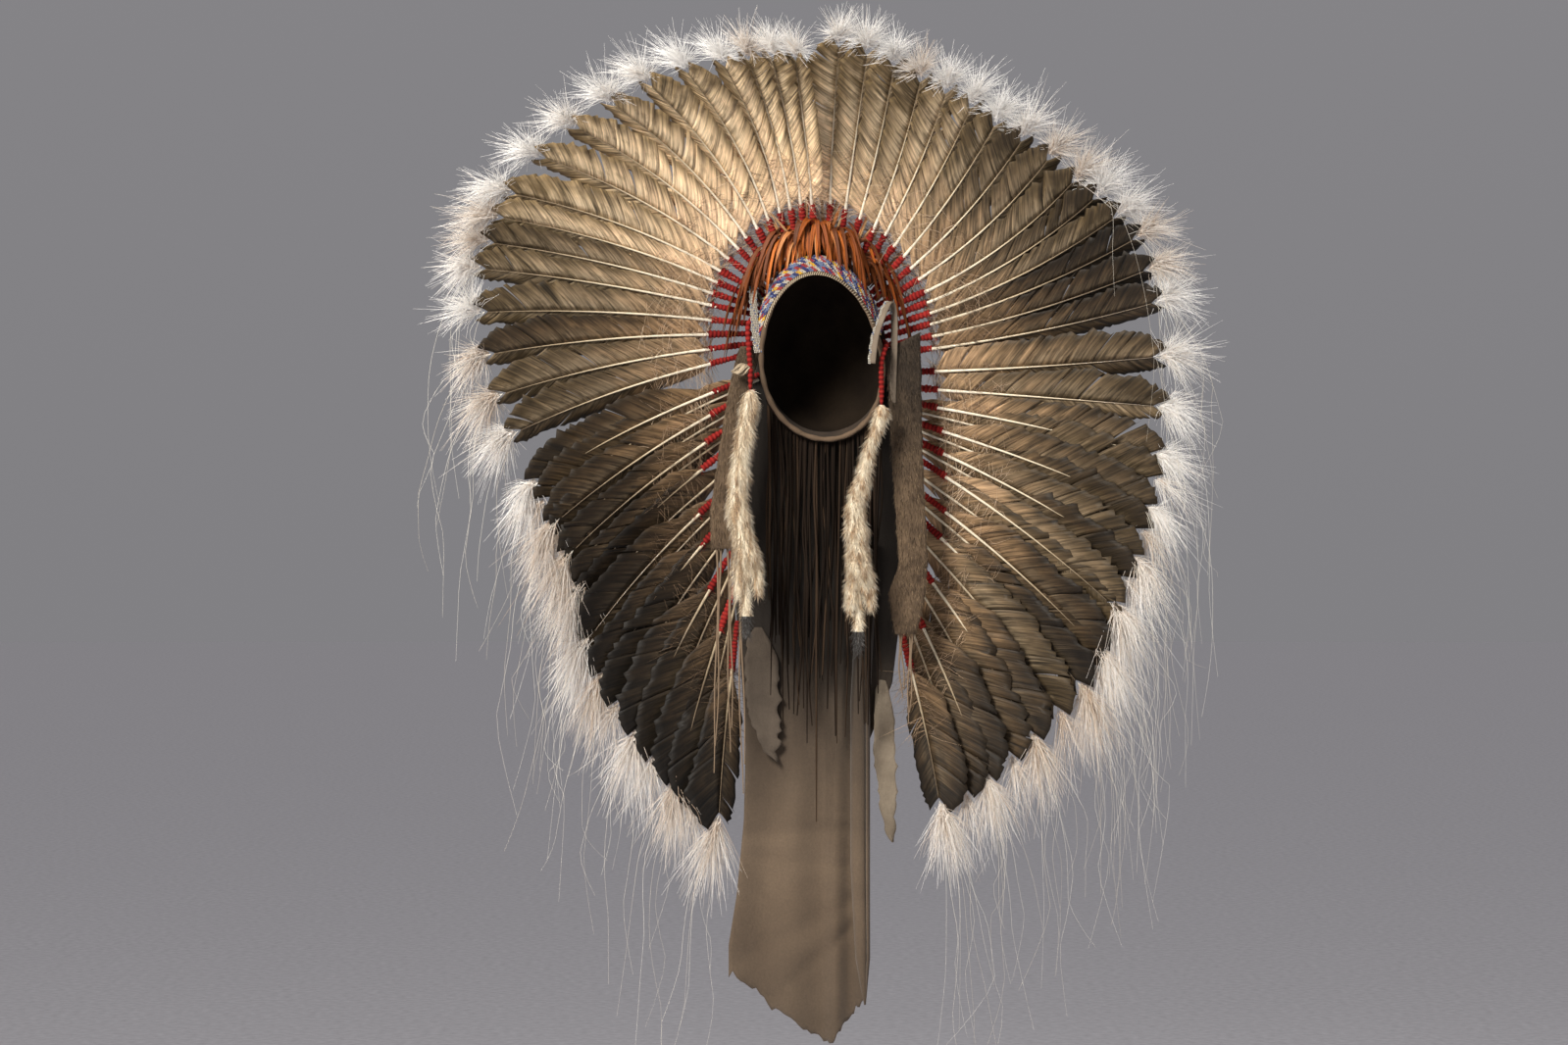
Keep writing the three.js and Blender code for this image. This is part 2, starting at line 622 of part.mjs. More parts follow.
// Flat fan of locks at a feather's tip, hanging a little towards the ground
function plume(tip, along, across, front, clock) {
  const droop = PLUME_DROOP * Math.sin(radians(clock));
  const axis = along.clone().addScaledVector(DOWN, droop);
  axis.addScaledVector(front, -axis.dot(front)).normalize();
  const aside = axis.clone().cross(front).normalize();
  const ray = (angle, reach) => tip.clone()
    .addScaledVector(axis, Math.cos(radians(angle)) * reach)
    .addScaledVector(aside, Math.sin(radians(angle)) * reach);
  const outline = [ray(180, PLUME_LENGTH / 8)];
  PLUME_LOCKS.forEach((lock, index) => {
    if (index > 0) outline.push(ray((lock.angle + PLUME_LOCKS[index - 1].angle) / 2, PLUME_LENGTH / 3.5));
    outline.push(ray(lock.angle, lock.reach * PLUME_LENGTH));
  });
  const count = outline.length;
  const hub = ray(0, PLUME_LENGTH / 8);
  const apexes = [0.5, -0.5].map((share) => hub.clone().addScaledVector(front, share * PLUME_THICKNESS));
  const faces = outline.flatMap((_, index) => {
    const next = (index + 1) % count;
    return [index, next, count, next, index, count + 1];
  });
  return solidOf([...outline, ...apexes], faces);
}

// Hexagonal sections: across runs from the narrow vane to the wide one
function featherRing(point, across, front, wide, narrow, thick, edge, cup) {
  const corners = [
    [wide, edge / 2 - cup],
    [0, thick / 2],
    [-narrow, edge / 2 - cup],
    [-narrow, -edge / 2 - cup],
    [0, -thick / 2],
    [wide, -edge / 2 - cup],
  ];
  return corners.map(([aside, ahead]) => point.clone()
    .addScaledVector(across, aside)
    .addScaledVector(front, ahead));
}

// A feather: wool wrap, quill with its two vanes, and tip plume, as one solid
function featherSolid(side, feather) {
  const fan = fanAt(side, feather);
  const distances = featherDistances(fan.length);
  const line = quillLine(side, feather, distances);
  const upper = Math.max(0, feather - 1);
  const above = quillLine(side, upper, distances);
  const below = quillLine(side, upper + 1, distances);
  const narrowVane = fan.vane * NARROW_VANE;
  const wideVane = feather === 0 ? narrowVane : fan.vane * WIDE_VANE;
  const frames = line.map(({ point, along }, index) => {
    const upwards = above[index].point.clone().sub(below[index].point);
    const flat = upwards.clone().addScaledVector(along, -upwards.dot(along)).normalize();
    const facing = flat.clone().cross(along).normalize();
    if (facing.dot(FRONT) < 0) facing.negate();
    const roll = radians(VANE_ROLL);
    const across = flat.clone().multiplyScalar(Math.cos(roll)).addScaledVector(facing, Math.sin(roll));
    const front = facing.clone().multiplyScalar(Math.cos(roll)).addScaledVector(flat, -Math.sin(roll));
    return { point, along, across, front };
  });
  const wrapSide = WRAP_RADIUS * Math.cos(radians(30));
  const wrapRings = frames.slice(0, 2).map(({ point, across, front }) => featherRing(
    point, across, front, wrapSide, wrapSide, 2 * WRAP_RADIUS, WRAP_RADIUS, 0,
  ));
  const bladeRings = BLADE.map((row, index) => {
    const { point, across, front } = frames[index + 2];
    const cup = VANE_CUP * row.wide;
    return featherRing(
      point, across, front, row.wide * wideVane, row.narrow * narrowVane, QUILL_THICKNESS, VANE_EDGE, cup,
    );
  });
  const tip = frames[frames.length - 1];
  const tuft = plume(tip.point, tip.along, tip.across, tip.front, fan.clock);
  return loft([...wrapRings, ...bladeRings]).add(tuft);
}

// Hide lacing that ties two neighbouring wraps of the trail to each other
function lacing(side, feather) {
  const ends = [feather, feather + 1].map((one) => quillLine(side, one, [EDGE_INSET])[0].point);
  const widths = [LACING_WIDTH, LACING_WIDTH];
  return strand(ends, widths, widths, 4, FRONT);
}

function seated(solid) {
  return largest(solid.subtract(capSeat).subtract(trailSeat));
}

function buildFeathers(name, side) {
  const number = (index) => String(index + 1).padStart(2, '0');
  for (let feather = 0; feather < SINGLE_COUNT; feather++) {
    const seat = quillLine(side, feather, [0])[0].point;
    const solid = seated(featherSolid(side, feather));
    place(`feather_${name}_${number(feather)}`, solid, COLOURS.feather, seat);
  }
  for (let feather = SINGLE_COUNT; feather < FEATHER_COUNT; feather += 2) {
    const seat = quillLine(side, feather, [0])[0].point;
    const pair = [featherSolid(side, feather), featherSolid(side, feather + 1), lacing(side, feather)];
    const solid = seated(union(pair));
    const pairNumber = number((feather - SINGLE_COUNT) / 2);
    place(`feather_pair_${name}_${pairNumber}`, solid, COLOURS.feather, seat);
  }
}

// Point on the trail's face at a place across in millimetres and a drop share
function trailFace(aside, drop, ahead) {
  const value = (column) => between(TRAIL_ROWS, 'drop', drop, column);
  const row = { left: value('left'), right: value('right'), back: value('back') };
  const half = TRAIL_HALF_WIDTH * (aside < 0 ? row.left : row.right);
  const point = trailPoint(aside / half, row, drop, -ahead);
  return point;
}

function buildTrailRoll() {
  const middle = TRAIL_HALF_WIDTH * 0.43;
  const top = 0.19;
  const rows = [
    { down: 0, width: 0.6, drift: 0.12 },
    { down: 0.06, width: 0.95, drift: 0.08 },
    { down: 0.35, width: 1, drift: 0 },
    { down: 0.7, width: 1, drift: 0 },
    { down: 0.9, width: 0.75, drift: 0.03 },
    { down: 1, width: 0.1, drift: 0.06 },
  ];
  const path = rows.map(({ down, drift }) => {
    const drop = top + down * ROLL_LENGTH / TRAIL_LENGTH;
    return trailFace(middle + drift * TRAIL_HALF_WIDTH, drop, ROLL_RADIUS);
  });
  const widths = rows.map(({ width }) => width * 2 * ROLL_RADIUS);
  const roll = strand(path, widths, widths, 8);
  place('trail_roll', largest(roll.subtract(trailSeat)), COLOURS.suede);
}

// Narrow hanging sheet in front of the trail, with a ragged end
function hangingStrip(name, aside, top, length, width, finish) {
  const rows = [
    { down: 0, left: -0.5, right: 0.5, ahead: -1 },
    { down: 0.3, left: -0.5, right: 0.48, ahead: 3 },
    { down: 0.75, left: -0.44, right: 0.5, ahead: 4 },
    { down: 0.9, left: -0.4, right: 0.36, ahead: 5 },
    { down: 1, left: -0.1, right: 0.12, ahead: 5 },
  ];
  const grid = (ahead) => rows.map((row) => [row.left, (row.left + row.right) / 2, row.right].map((share) => {
    const away = SEAT_GAP + ahead + row.ahead * STRIP_WALL;
    return trailFace(aside + share * width, top + row.down * length / TRAIL_LENGTH, away);
  }));
  const strip = sheet(grid(STRIP_WALL), grid(0));
  place(name, largest(strip.subtract(trailSeat)), finish);
}

function buildStrips() {
  const left = -0.66 * TRAIL_HALF_WIDTH;
  const right = 0.71 * TRAIL_HALF_WIDTH;
  hangingStrip('trail_strip_left', left, 0.33, TATTER_LENGTH, TATTER_WIDTH, COLOURS.cream);
  hangingStrip('trail_strip_right', right, 0.41, STRIP_LENGTH, STRIP_WIDTH, COLOURS.cream);
}

// Thong that hangs from a point, with its free end drifted sideways
function thong(from, length, drift, back) {
  const shares = [0, 0.35, 0.7, 1];
  const path = shares.map((share) => from.clone()
    .addScaledVector(DOWN, share * length)
    .addScaledVector(RIGHT, share * share * drift * THONG_WIDTH)
    .addScaledVector(FRONT, -share * back));
  const widths = [1, 0.9, 0.8, 0.4].map((share) => share * THONG_WIDTH);
  const thicknesses = widths.map((width) => width * THONG_THICKNESS / THONG_WIDTH);
  return strand(path, widths, thicknesses, 4);
}

function buildFringe() {
  const heights = [FRINGE_HEADING / 3, FRINGE_HEADING * 4 / 3];
  const band = capStrip(180, FRINGE_TURN, heights, FRINGE_WALL);
  const thongs = FRINGE_THONGS.map(({ turn, length, drift }) => {
    const root = capPoint(turn, FRINGE_HEADING / CROWN_DEPTH, capOutside + FRINGE_WALL / 2);
    return thong(root, length * FRINGE_LENGTH, drift, THONG_WIDTH);
  });
  const whole = union([band, ...thongs]).subtract(capSeat);
  place('thong_fringe', largest(whole), COLOURS.thong);
}

// Point beside the cap's flank, as shares of a length outwards, ahead and down
function flankPoint(side, length, row) {
  const flank = capPoint(side * 88, 0.1, capOutside);
  return flank.add(vector(side * row.out * length, -row.ahead * length, -row.down * length));
}

// Point of a flap: share runs from its inner edge to its outer one
function flapPoint(side, row, share, away) {
  const out = THREE.MathUtils.lerp(row.inner, row.outer, share);
  const bulge = share === 0.5 ? -FLAP_WALL : 0;
  return flankPoint(side, 1, { out: 0, ahead: 0, down: 0 }).add(vector(
    side * out * FLAP_WIDTH,
    row.back * FLAP_WIDTH + away + bulge,
    (share * row.raise - row.drop) * FLAP_LENGTH,
  ));
}

function flapGrid(name, side, away) {
  return FLAPS[name].map((row) => [0, 0.5, 1].map((share) => flapPoint(side, row, share, away)));
}

function buildFlap(name, side) {
  const rows = FLAPS[name];
  const panel = sheet(flapGrid(name, side, 0), flapGrid(name, side, FLAP_WALL));
  const last = rows[rows.length - 1];
  const thongs = FLAP_THONGS[name].map(({ out, length, drift }) => {
    const root = flapPoint(side, last, (out - last.inner) / (last.outer - last.inner), FLAP_WALL / 2);
    root.addScaledVector(DOWN, -2 * THONG_WIDTH);
    return thong(root, length * FLAP_THONG_LENGTH, drift, 0);
  });
  place(`flap_${name}`, largest(union([panel, ...thongs]).subtract(capSeat)), COLOURS.fur);
}

// A drop that hangs against its flap, cut clear of the flap and the cap
function againstFlap(name, side, solid) {
  const flapSeat = sheet(flapGrid(name, side, -SEAT_GAP), flapGrid(name, side, FLAP_WIDTH / 2));
  return largest(solid.subtract(capSeat).subtract(bandSeat).subtract(flapSeat));
}

function buildLoop(name, side) {
  const path = LOOPS[name].map((row) => flankPoint(side, LOOP_LENGTH, row));
  const across = name === 'left' ? RIGHT : FRONT;
  const widths = path.map(() => LOOP_WIDTH);
  const thicknesses = path.map(() => LOOP_WALL);
  const loop = strand(path, widths, thicknesses, 4, across);
  place(`beaded_loop_${name}`, againstFlap(name, side, loop), COLOURS.beads);
}

function buildTie(name, side) {
  const path = TIES[name].map((row) => flankPoint(side, TIE_LENGTH, row));
  const widths = TIES[name].map((row) => row.width * 2 * TIE_RADIUS);
  let tie = strand(path, widths, widths, 6);
  if (name === 'left') {
    const middle = path[path.length - 2];
    const knot = [0.1, -0.25, -0.6, -0.85].map((share) => middle.clone()
      .addScaledVector(RIGHT, share * KNOT_SIZE)
      .addScaledVector(DOWN, share * KNOT_SIZE / 5));
    const sizes = [0.3, 0.5, 0.6, 0.4].map((share) => share * KNOT_SIZE);
    tie = tie.add(strand(knot, sizes, sizes, 6, DOWN));
  }
  place(`wrapped_tie_${name}`, againstFlap(name, side, tie), COLOURS.wool);
}

function buildErmine(name, side) {
  const tieEnd = flankPoint(side, TIE_LENGTH, TIES[name][TIES[name].length - 1]);
  const top = tieEnd.addScaledVector(DOWN, SEAT_GAP);
  const rows = ERMINES[name];
  const path = rows.map((row) => top.clone()
    .addScaledVector(DOWN, row.down * ERMINE_LENGTH)
    .addScaledVector(RIGHT, side * row.out * ERMINE_LENGTH));
  const widths = rows.map((row) => row.width * ERMINE_WIDTH);
  const thicknesses = widths.map((width) => width * 0.6);
  const body = strand(path, widths, thicknesses, 6);
  const low = path[path.length - 2];
  const limbs = [-0.34, 0.34, 0.05].map((share, index) => {
    const length = ERMINE_LEG * (index === 2 ? 1.5 : 1);
    const from = low.clone().addScaledVector(RIGHT, share * ERMINE_WIDTH * 0.8);
    const limb = [0, 0.55, 1].map((down) => from.clone()
      .addScaledVector(DOWN, down * length)
      .addScaledVector(RIGHT, share * down * ERMINE_WIDTH * 0.5));
    const sizes = [0.34, 0.3, 0.12].map((size) => size * ERMINE_WIDTH);
    return strand(limb, sizes, sizes, 5);
  });
  place(`ermine_${name}`, againstFlap(name, side, union([body, ...limbs])), COLOURS.ermine);
}

buildCap();
buildBrowBand();
buildHackles();
buildTrail();
buildTrailRoll();
buildStrips();
buildFringe();
for (const [name, side] of Object.entries(SIDES)) {
  buildFeathers(name, side);
  buildFlap(name, side);
  buildLoop(name, side);
  buildTie(name, side);
  buildErmine(name, side);
}

export default headdress;
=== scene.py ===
import math

import bpy
import numpy as np
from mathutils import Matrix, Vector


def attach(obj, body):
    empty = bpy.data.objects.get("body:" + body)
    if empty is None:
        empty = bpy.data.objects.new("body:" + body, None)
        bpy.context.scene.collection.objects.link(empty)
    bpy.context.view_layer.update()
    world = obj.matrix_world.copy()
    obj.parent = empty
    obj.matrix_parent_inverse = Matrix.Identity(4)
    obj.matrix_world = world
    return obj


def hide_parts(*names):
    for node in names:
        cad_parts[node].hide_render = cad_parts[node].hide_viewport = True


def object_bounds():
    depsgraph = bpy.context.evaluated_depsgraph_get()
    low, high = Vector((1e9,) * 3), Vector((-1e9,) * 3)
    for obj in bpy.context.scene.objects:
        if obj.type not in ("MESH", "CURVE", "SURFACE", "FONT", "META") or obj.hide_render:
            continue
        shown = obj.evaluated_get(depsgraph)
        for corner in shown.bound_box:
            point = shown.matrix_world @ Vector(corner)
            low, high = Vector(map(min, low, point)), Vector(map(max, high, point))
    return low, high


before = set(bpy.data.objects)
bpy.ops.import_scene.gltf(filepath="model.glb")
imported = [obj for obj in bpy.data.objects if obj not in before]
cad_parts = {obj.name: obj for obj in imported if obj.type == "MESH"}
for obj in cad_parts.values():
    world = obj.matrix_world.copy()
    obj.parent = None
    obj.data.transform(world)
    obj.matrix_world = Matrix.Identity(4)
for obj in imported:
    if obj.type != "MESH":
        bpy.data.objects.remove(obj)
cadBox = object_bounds()
mm = 0.001
sides = {"left": -1, "right": 1}
down = np.array([0.0, 0.0, -1.0])
ahead = np.array([0.0, -1.0, 0.0])

# Camera first: the view of the photograph
view = {"place": (-46, -4500, -202), "lens": 84.4, "sensor": 36}
cameraData = bpy.data.cameras.new("camera")
cameraData.lens = view["lens"]
cameraData.sensor_width = view["sensor"]
cameraData.clip_end = 60
camera = bpy.data.objects.new("camera", cameraData)
camera.location = [value * mm for value in view["place"]]
camera.rotation_euler = (math.pi / 2, 0, 0)
bpy.context.collection.objects.link(camera)
bpy.context.scene.camera = camera


# meshes from grids and paths, in millimetres

def unit(vectors):
    return vectors / np.maximum(np.linalg.norm(vectors, axis=-1, keepdims=True), 1e-9)


def sheetQuads(rows, columns):
    # front grid, back grid, and the rim that joins them
    index = np.arange(rows * columns).reshape(rows, columns)
    behind = rows * columns
    front = np.stack([index[:-1, :-1], index[1:, :-1], index[1:, 1:], index[:-1, 1:]], -1).reshape(-1, 4)
    loop = np.concatenate([index[:-1, 0], index[-1, :-1], index[:0:-1, -1], index[0, :0:-1]])
    following = np.roll(loop, -1)
    rim = np.stack([loop, loop + behind, following + behind, following], -1)
    return np.concatenate([front, front[:, ::-1] + behind, rim])


def facingOut(points, quads):
    # turns the faces if the closed shape is inside out
    local = points - points.mean(axis=0)
    a, b, c, d = (local[quads[:, corner]] for corner in range(4))
    volume = np.einsum("ij,ij->", a, np.cross(b, c)) + np.einsum("ij,ij->", a, np.cross(c, d))
    return quads if volume > 0 else quads[:, ::-1]


class Pile:
    def __init__(self):
        self.points, self.faces, self.values, self.count = [], [], {}, 0

    def add(self, points, faces, **values):
        self.points.append(points)
        self.faces.append(facingOut(points, faces) + self.count)
        for name, value in values.items():
            filled = np.broadcast_to(np.asarray(value, dtype=float), (len(points),))
            self.values.setdefault(name, []).append(filled)
        self.count += len(points)

    def addSheet(self, front, back, **values):
        rows, columns = front.shape[:2]
        points = np.concatenate([front.reshape(-1, 3), back.reshape(-1, 3)])
        doubled = {name: np.tile(np.broadcast_to(value, (rows, columns)).ravel(), 2) for name, value in values.items()}
        self.add(points, sheetQuads(rows, columns), **doubled)

    def build(self, name, material):
        points = np.concatenate(self.points) * mm
        faces = np.concatenate(self.faces)
        mesh = bpy.data.meshes.new(name)
        mesh.from_pydata(points.tolist(), [], faces.tolist())
        for key, values in self.values.items():
            mesh.attributes.new(key, "FLOAT", "POINT").data.foreach_set("value", np.concatenate(values))
        mesh.polygons.foreach_set("use_smooth", np.ones(len(mesh.polygons), dtype=bool))
        mesh.materials.append(material)
        piece = bpy.data.objects.new(name, mesh)
        bpy.context.collection.objects.link(piece)
        return piece


def sheetPiece(name, front, back, material):
    pile = Pile()
    pile.addSheet(front, back)
    return pile.build(name, material)


class Paths:
    def __init__(self):
        self.points, self.edges, self.values, self.count = [], [], {}, 0

    def add(self, lines, **values):
        # lines: strands x points x 3, and values that spread over strands x points
        lines = np.asarray(lines, dtype=float)
        if lines.ndim == 2:
            lines = lines[None]
        strands, length = lines.shape[:2]
        index = np.arange(strands * length).reshape(strands, length) + self.count
        self.points.append(lines.reshape(-1, 3))
        self.edges.append(np.stack([index[:, :-1], index[:, 1:]], -1).reshape(-1, 2))
        for name, value in values.items():
            self.values.setdefault(name, []).append(np.broadcast_to(value, (strands, length)).ravel())
        self.count += strands * length

    def build(self, name):
        mesh = bpy.data.meshes.new(name)
        mesh.from_pydata((np.concatenate(self.points) * mm).tolist(), np.concatenate(self.edges).tolist(), [])
        for key, values in self.values.items():
            scale = mm if key == "thickness" else 1
            data = np.concatenate(values) * scale
            mesh.attributes.new(key, "FLOAT", "POINT").data.foreach_set("value", data)
        piece = bpy.data.objects.new(name, mesh)
        bpy.context.collection.objects.link(piece)
        return piece


# geometry node trees

def newTree(name, inputs):
    tree = bpy.data.node_groups.new(name, "GeometryNodeTree")
    tree.interface.new_socket("Geometry", in_out="INPUT", socket_type="NodeSocketGeometry")
    tree.interface.new_socket("Geometry", in_out="OUTPUT", socket_type="NodeSocketGeometry")
    for label, kind, value in inputs:
        socket = tree.interface.new_socket(label, in_out="INPUT", socket_type="NodeSocket" + kind)
        if value is not None:
            socket.default_value = value
    return tree, tree.nodes.new("NodeGroupInput"), tree.nodes.new("NodeGroupOutput")


def attributeNode(tree, name, kind="FLOAT"):
    node = tree.nodes.new("GeometryNodeInputNamedAttribute")
    node.data_type = kind
    node.inputs["Name"].default_value = name
    return node.outputs["Attribute"]


def finishTree(tree, given, result, geometry):
    realize = tree.nodes.new("GeometryNodeRealizeInstances")
    material = tree.nodes.new("GeometryNodeSetMaterial")
    tree.links.new(geometry, realize.inputs["Geometry"])
    tree.links.new(realize.outputs["Geometry"], material.inputs["Geometry"])
    tree.links.new(given.outputs["Material"], material.inputs["Material"])
    tree.links.new(material.outputs["Geometry"], result.inputs["Geometry"])


def strandTree():
    # round strands along paths, as thick as the paths say
    tree, given, result = newTree("strandsAlongPaths", [
        ("Sides", "Int", 3), ("Thickness", "Float", 1.0), ("Material", "Material", None)])
    nodes, links = tree.nodes, tree.links
    curve = nodes.new("GeometryNodeMeshToCurve")
    circle = nodes.new("GeometryNodeCurvePrimitiveCircle")
    circle.inputs["Radius"].default_value = 1.0
    product = nodes.new("ShaderNodeMath")
    product.operation = "MULTIPLY"
    skin = nodes.new("GeometryNodeCurveToMesh")
    skin.inputs["Fill Caps"].default_value = True
    links.new(given.outputs["Geometry"], curve.inputs["Mesh"])
    links.new(given.outputs["Sides"], circle.inputs["Resolution"])
    links.new(attributeNode(tree, "thickness"), product.inputs[0])
    links.new(given.outputs["Thickness"], product.inputs[1])
    links.new(curve.outputs["Curve"], skin.inputs["Curve"])
    links.new(circle.outputs["Curve"], skin.inputs["Profile Curve"])
    links.new(product.outputs[0], skin.inputs["Scale"])
    finishTree(tree, given, result, skin.outputs["Mesh"])
    return tree


def beadTree():
    # a small bead on each point, turned to the point's direction
    tree, given, result = newTree("beadsOnPoints", [
        ("Segments", "Int", 6), ("Radius", "Float", 0.001), ("Spread", "Float", 0.12), ("Seed", "Int", 3),
        ("Material", "Material", None)])
    nodes, links = tree.nodes, tree.links
    bead = nodes.new("GeometryNodeMeshUVSphere")
    bead.inputs["Rings"].default_value = 4
    links.new(given.outputs["Segments"], bead.inputs["Segments"])
    links.new(given.outputs["Radius"], bead.inputs["Radius"])
    turn = nodes.new("FunctionNodeAlignRotationToVector")
    turn.axis = "Z"
    links.new(attributeNode(tree, "along", "FLOAT_VECTOR"), turn.inputs["Vector"])
    chance = nodes.new("FunctionNodeRandomValue")
    low = nodes.new("ShaderNodeMath")
    low.operation = "SUBTRACT"
    low.inputs[0].default_value = 1.0
    links.new(given.outputs["Spread"], low.inputs[1])
    links.new(low.outputs[0], chance.inputs[2])
    links.new(given.outputs["Seed"], chance.inputs["Seed"])
    place = nodes.new("GeometryNodeInstanceOnPoints")
    links.new(given.outputs["Geometry"], place.inputs["Points"])
    links.new(bead.outputs["Mesh"], place.inputs["Instance"])
    links.new(turn.outputs["Rotation"], place.inputs["Rotation"])
    links.new(chance.outputs[1], place.inputs["Scale"])
    finishTree(tree, given, result, place.outputs["Instances"])
    return tree


def grow(source, tree, name, material, **inputs):
    # runs a tree on an object and keeps its result as a plain mesh
    modifier = source.modifiers.new("grow", "NODES")
    modifier.node_group = tree
    for item in tree.interface.items_tree:
        if item.item_type != "SOCKET" or item.in_out != "INPUT":
            continue
        if item.name == "Material":
            modifier[item.identifier] = material
        elif item.name in inputs:
            modifier[item.identifier] = inputs[item.name]
    depsgraph = bpy.context.evaluated_depsgraph_get()
    mesh = bpy.data.meshes.new_from_object(source.evaluated_get(depsgraph))
    source.modifiers.remove(modifier)
    piece = bpy.data.objects.new(name, mesh)
    mesh.name = name
    mesh.polygons.foreach_set("use_smooth", np.ones(len(mesh.polygons), dtype=bool))
    bpy.context.collection.objects.link(piece)
    bpy.data.objects.remove(source)
    return piece


def settle(piece, slot, *nodes):
    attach(piece, "root")
    if nodes:
        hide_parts(*nodes)
    return piece


# shader groups and materials

def nodeGroup(name, inputs, outputs):
    group = bpy.data.node_groups.new(name, "ShaderNodeTree")
    for label, kind, value in inputs:
        socket = group.interface.new_socket(label, in_out="INPUT", socket_type="NodeSocket" + kind)
        if value is not None:
            socket.default_value = value
    for label, kind in outputs:
        group.interface.new_socket(label, in_out="OUTPUT", socket_type="NodeSocket" + kind)
    return group, group.nodes.new("NodeGroupInput"), group.nodes.new("NodeGroupOutput")


def mathNode(tree, operation, first, second=0.0, third=None):
    node = tree.nodes.new("ShaderNodeMath")
    node.operation = operation
    for socket, value in zip(node.inputs, (first, second, third)):
        if isinstance(value, bpy.types.NodeSocket):
            tree.links.new(value, socket)
        elif value is not None:
            socket.default_value = value
    return node.outputs[0]


def mixColours(tree, share, first, second, blend="MIX"):
    node = tree.nodes.new("ShaderNodeMix")
    node.data_type = "RGBA"
    node.blend_type = blend
    for socket, value in ((node.inputs[0], share), (node.inputs[6], first), (node.inputs[7], second)):
        if isinstance(value, bpy.types.NodeSocket):
            tree.links.new(value, socket)
        elif isinstance(value, tuple):
            socket.default_value = (*value, 1)
        else:
            socket.default_value = value
    return node.outputs[2]


def ramp(tree, value, stops):
    node = tree.nodes.new("ShaderNodeValToRGB")
    while len(node.color_ramp.elements) < len(stops):
        node.color_ramp.elements.new(0.5)
    for element, (place, colour) in zip(node.color_ramp.elements, stops):
        element.position = place
        element.color = (*colour, 1) if isinstance(colour, tuple) else (colour, colour, colour, 1)
    tree.links.new(value, node.inputs["Fac"])
    return node.outputs["Color"]


def dimmed(tree, colour, light):
    return mixColours(tree, 1.0, colour, combine(tree, light, light, light), "MULTIPLY")


def readValue(tree, name):
    node = tree.nodes.new("ShaderNodeAttribute")
    node.attribute_name = name
    return node.outputs["Fac"]


def combine(tree, x, y, z):
    node = tree.nodes.new("ShaderNodeCombineXYZ")
    for socket, value in zip(node.inputs, (x, y, z)):
        if isinstance(value, bpy.types.NodeSocket):
            tree.links.new(value, socket)
        else:
            socket.default_value = value
    return node.outputs[0]


def noise(tree, vector, scale, detail=3.0, roughness=0.55):
    node = tree.nodes.new("ShaderNodeTexNoise")
    node.inputs["Scale"].default_value = scale
    node.inputs["Detail"].default_value = detail
    node.inputs["Roughness"].default_value = roughness
    tree.links.new(vector, node.inputs["Vector"])
    return node.outputs["Fac"]


def objectPoint(tree, kind="Object"):
    return tree.nodes.new("ShaderNodeTexCoord").outputs[kind]


def axesOf(tree, vector):
    node = tree.nodes.new("ShaderNodeSeparateXYZ")
    tree.links.new(vector, node.inputs[0])
    return node.outputs


def buildMottle():
    # large and fine variation of a colour, with its own relief
    group, given, result = nodeGroup("mottle", [
        ("Colour", "Color", (0.5, 0.5, 0.5, 1)), ("Stain", "Color", (0.2, 0.2, 0.2, 1)), ("Amount", "Float", 0.5),
        ("Scale", "Float", 20.0), ("Grain", "Float", 400.0)], [("Colour", "Color"), ("Height", "Float")])
    point = objectPoint(group)
    nodes = {}
    for label, socket in (("broad", "Scale"), ("fine", "Grain")):
        node = group.nodes.new("ShaderNodeTexNoise")
        node.inputs["Detail"].default_value = 4
        group.links.new(point, node.inputs["Vector"])
        group.links.new(given.outputs[socket], node.inputs["Scale"])
        nodes[label] = node.outputs["Fac"]
    spread = mathNode(group, "MULTIPLY_ADD", nodes["broad"], 2.6, -0.8)
    share = group.nodes.new("ShaderNodeClamp")
    group.links.new(mathNode(group, "MULTIPLY", spread, given.outputs["Amount"]), share.inputs["Value"])
    stained = mixColours(group, share.outputs[0], given.outputs["Colour"], given.outputs["Stain"])
    speck = mathNode(group, "MULTIPLY_ADD", nodes["fine"], 0.5, 0.75)
    final = dimmed(group, stained, speck)
    group.links.new(final, result.inputs["Colour"])
    group.links.new(mathNode(group, "ADD", nodes["fine"], nodes["broad"]), result.inputs["Height"])
    return group


def buildStreaks():
    # fine streaks that follow the barbs of a feather or the lie of hair
    group, given, result = nodeGroup("streaks", [
        ("Barb", "Float", 0.0), ("Across", "Float", 0.0), ("Tone", "Float", 0.0), ("Density", "Float", 1.0)],
        [("Streak", "Float"), ("Ripple", "Float")])
    barb = mathNode(group, "MULTIPLY", given.outputs["Barb"], given.outputs["Density"])
    shift = mathNode(group, "MULTIPLY", given.outputs["Tone"], 37.0)
    fine = combine(group, barb, mathNode(group, "MULTIPLY", given.outputs["Across"], 0.8), shift)
    broad = combine(group, mathNode(group, "MULTIPLY", barb, 0.16), given.outputs["Across"], shift)
    group.links.new(noise(group, fine, 1.0, 2.0), result.inputs["Streak"])
    group.links.new(noise(group, broad, 1.0, 3.0), result.inputs["Ripple"])
    return group


mottleGroup = buildMottle()
streakGroup = buildStreaks()


def newMaterial(name, roughness, **constants):
    material = bpy.data.materials.new(name)
    material.use_nodes = True
    shader = material.node_tree.nodes["Principled BSDF"]
    shader.inputs["Roughness"].default_value = roughness
    for label, value in constants.items():
        shader.inputs[label.replace("_", " ")].default_value = value
    return material, material.node_tree, shader


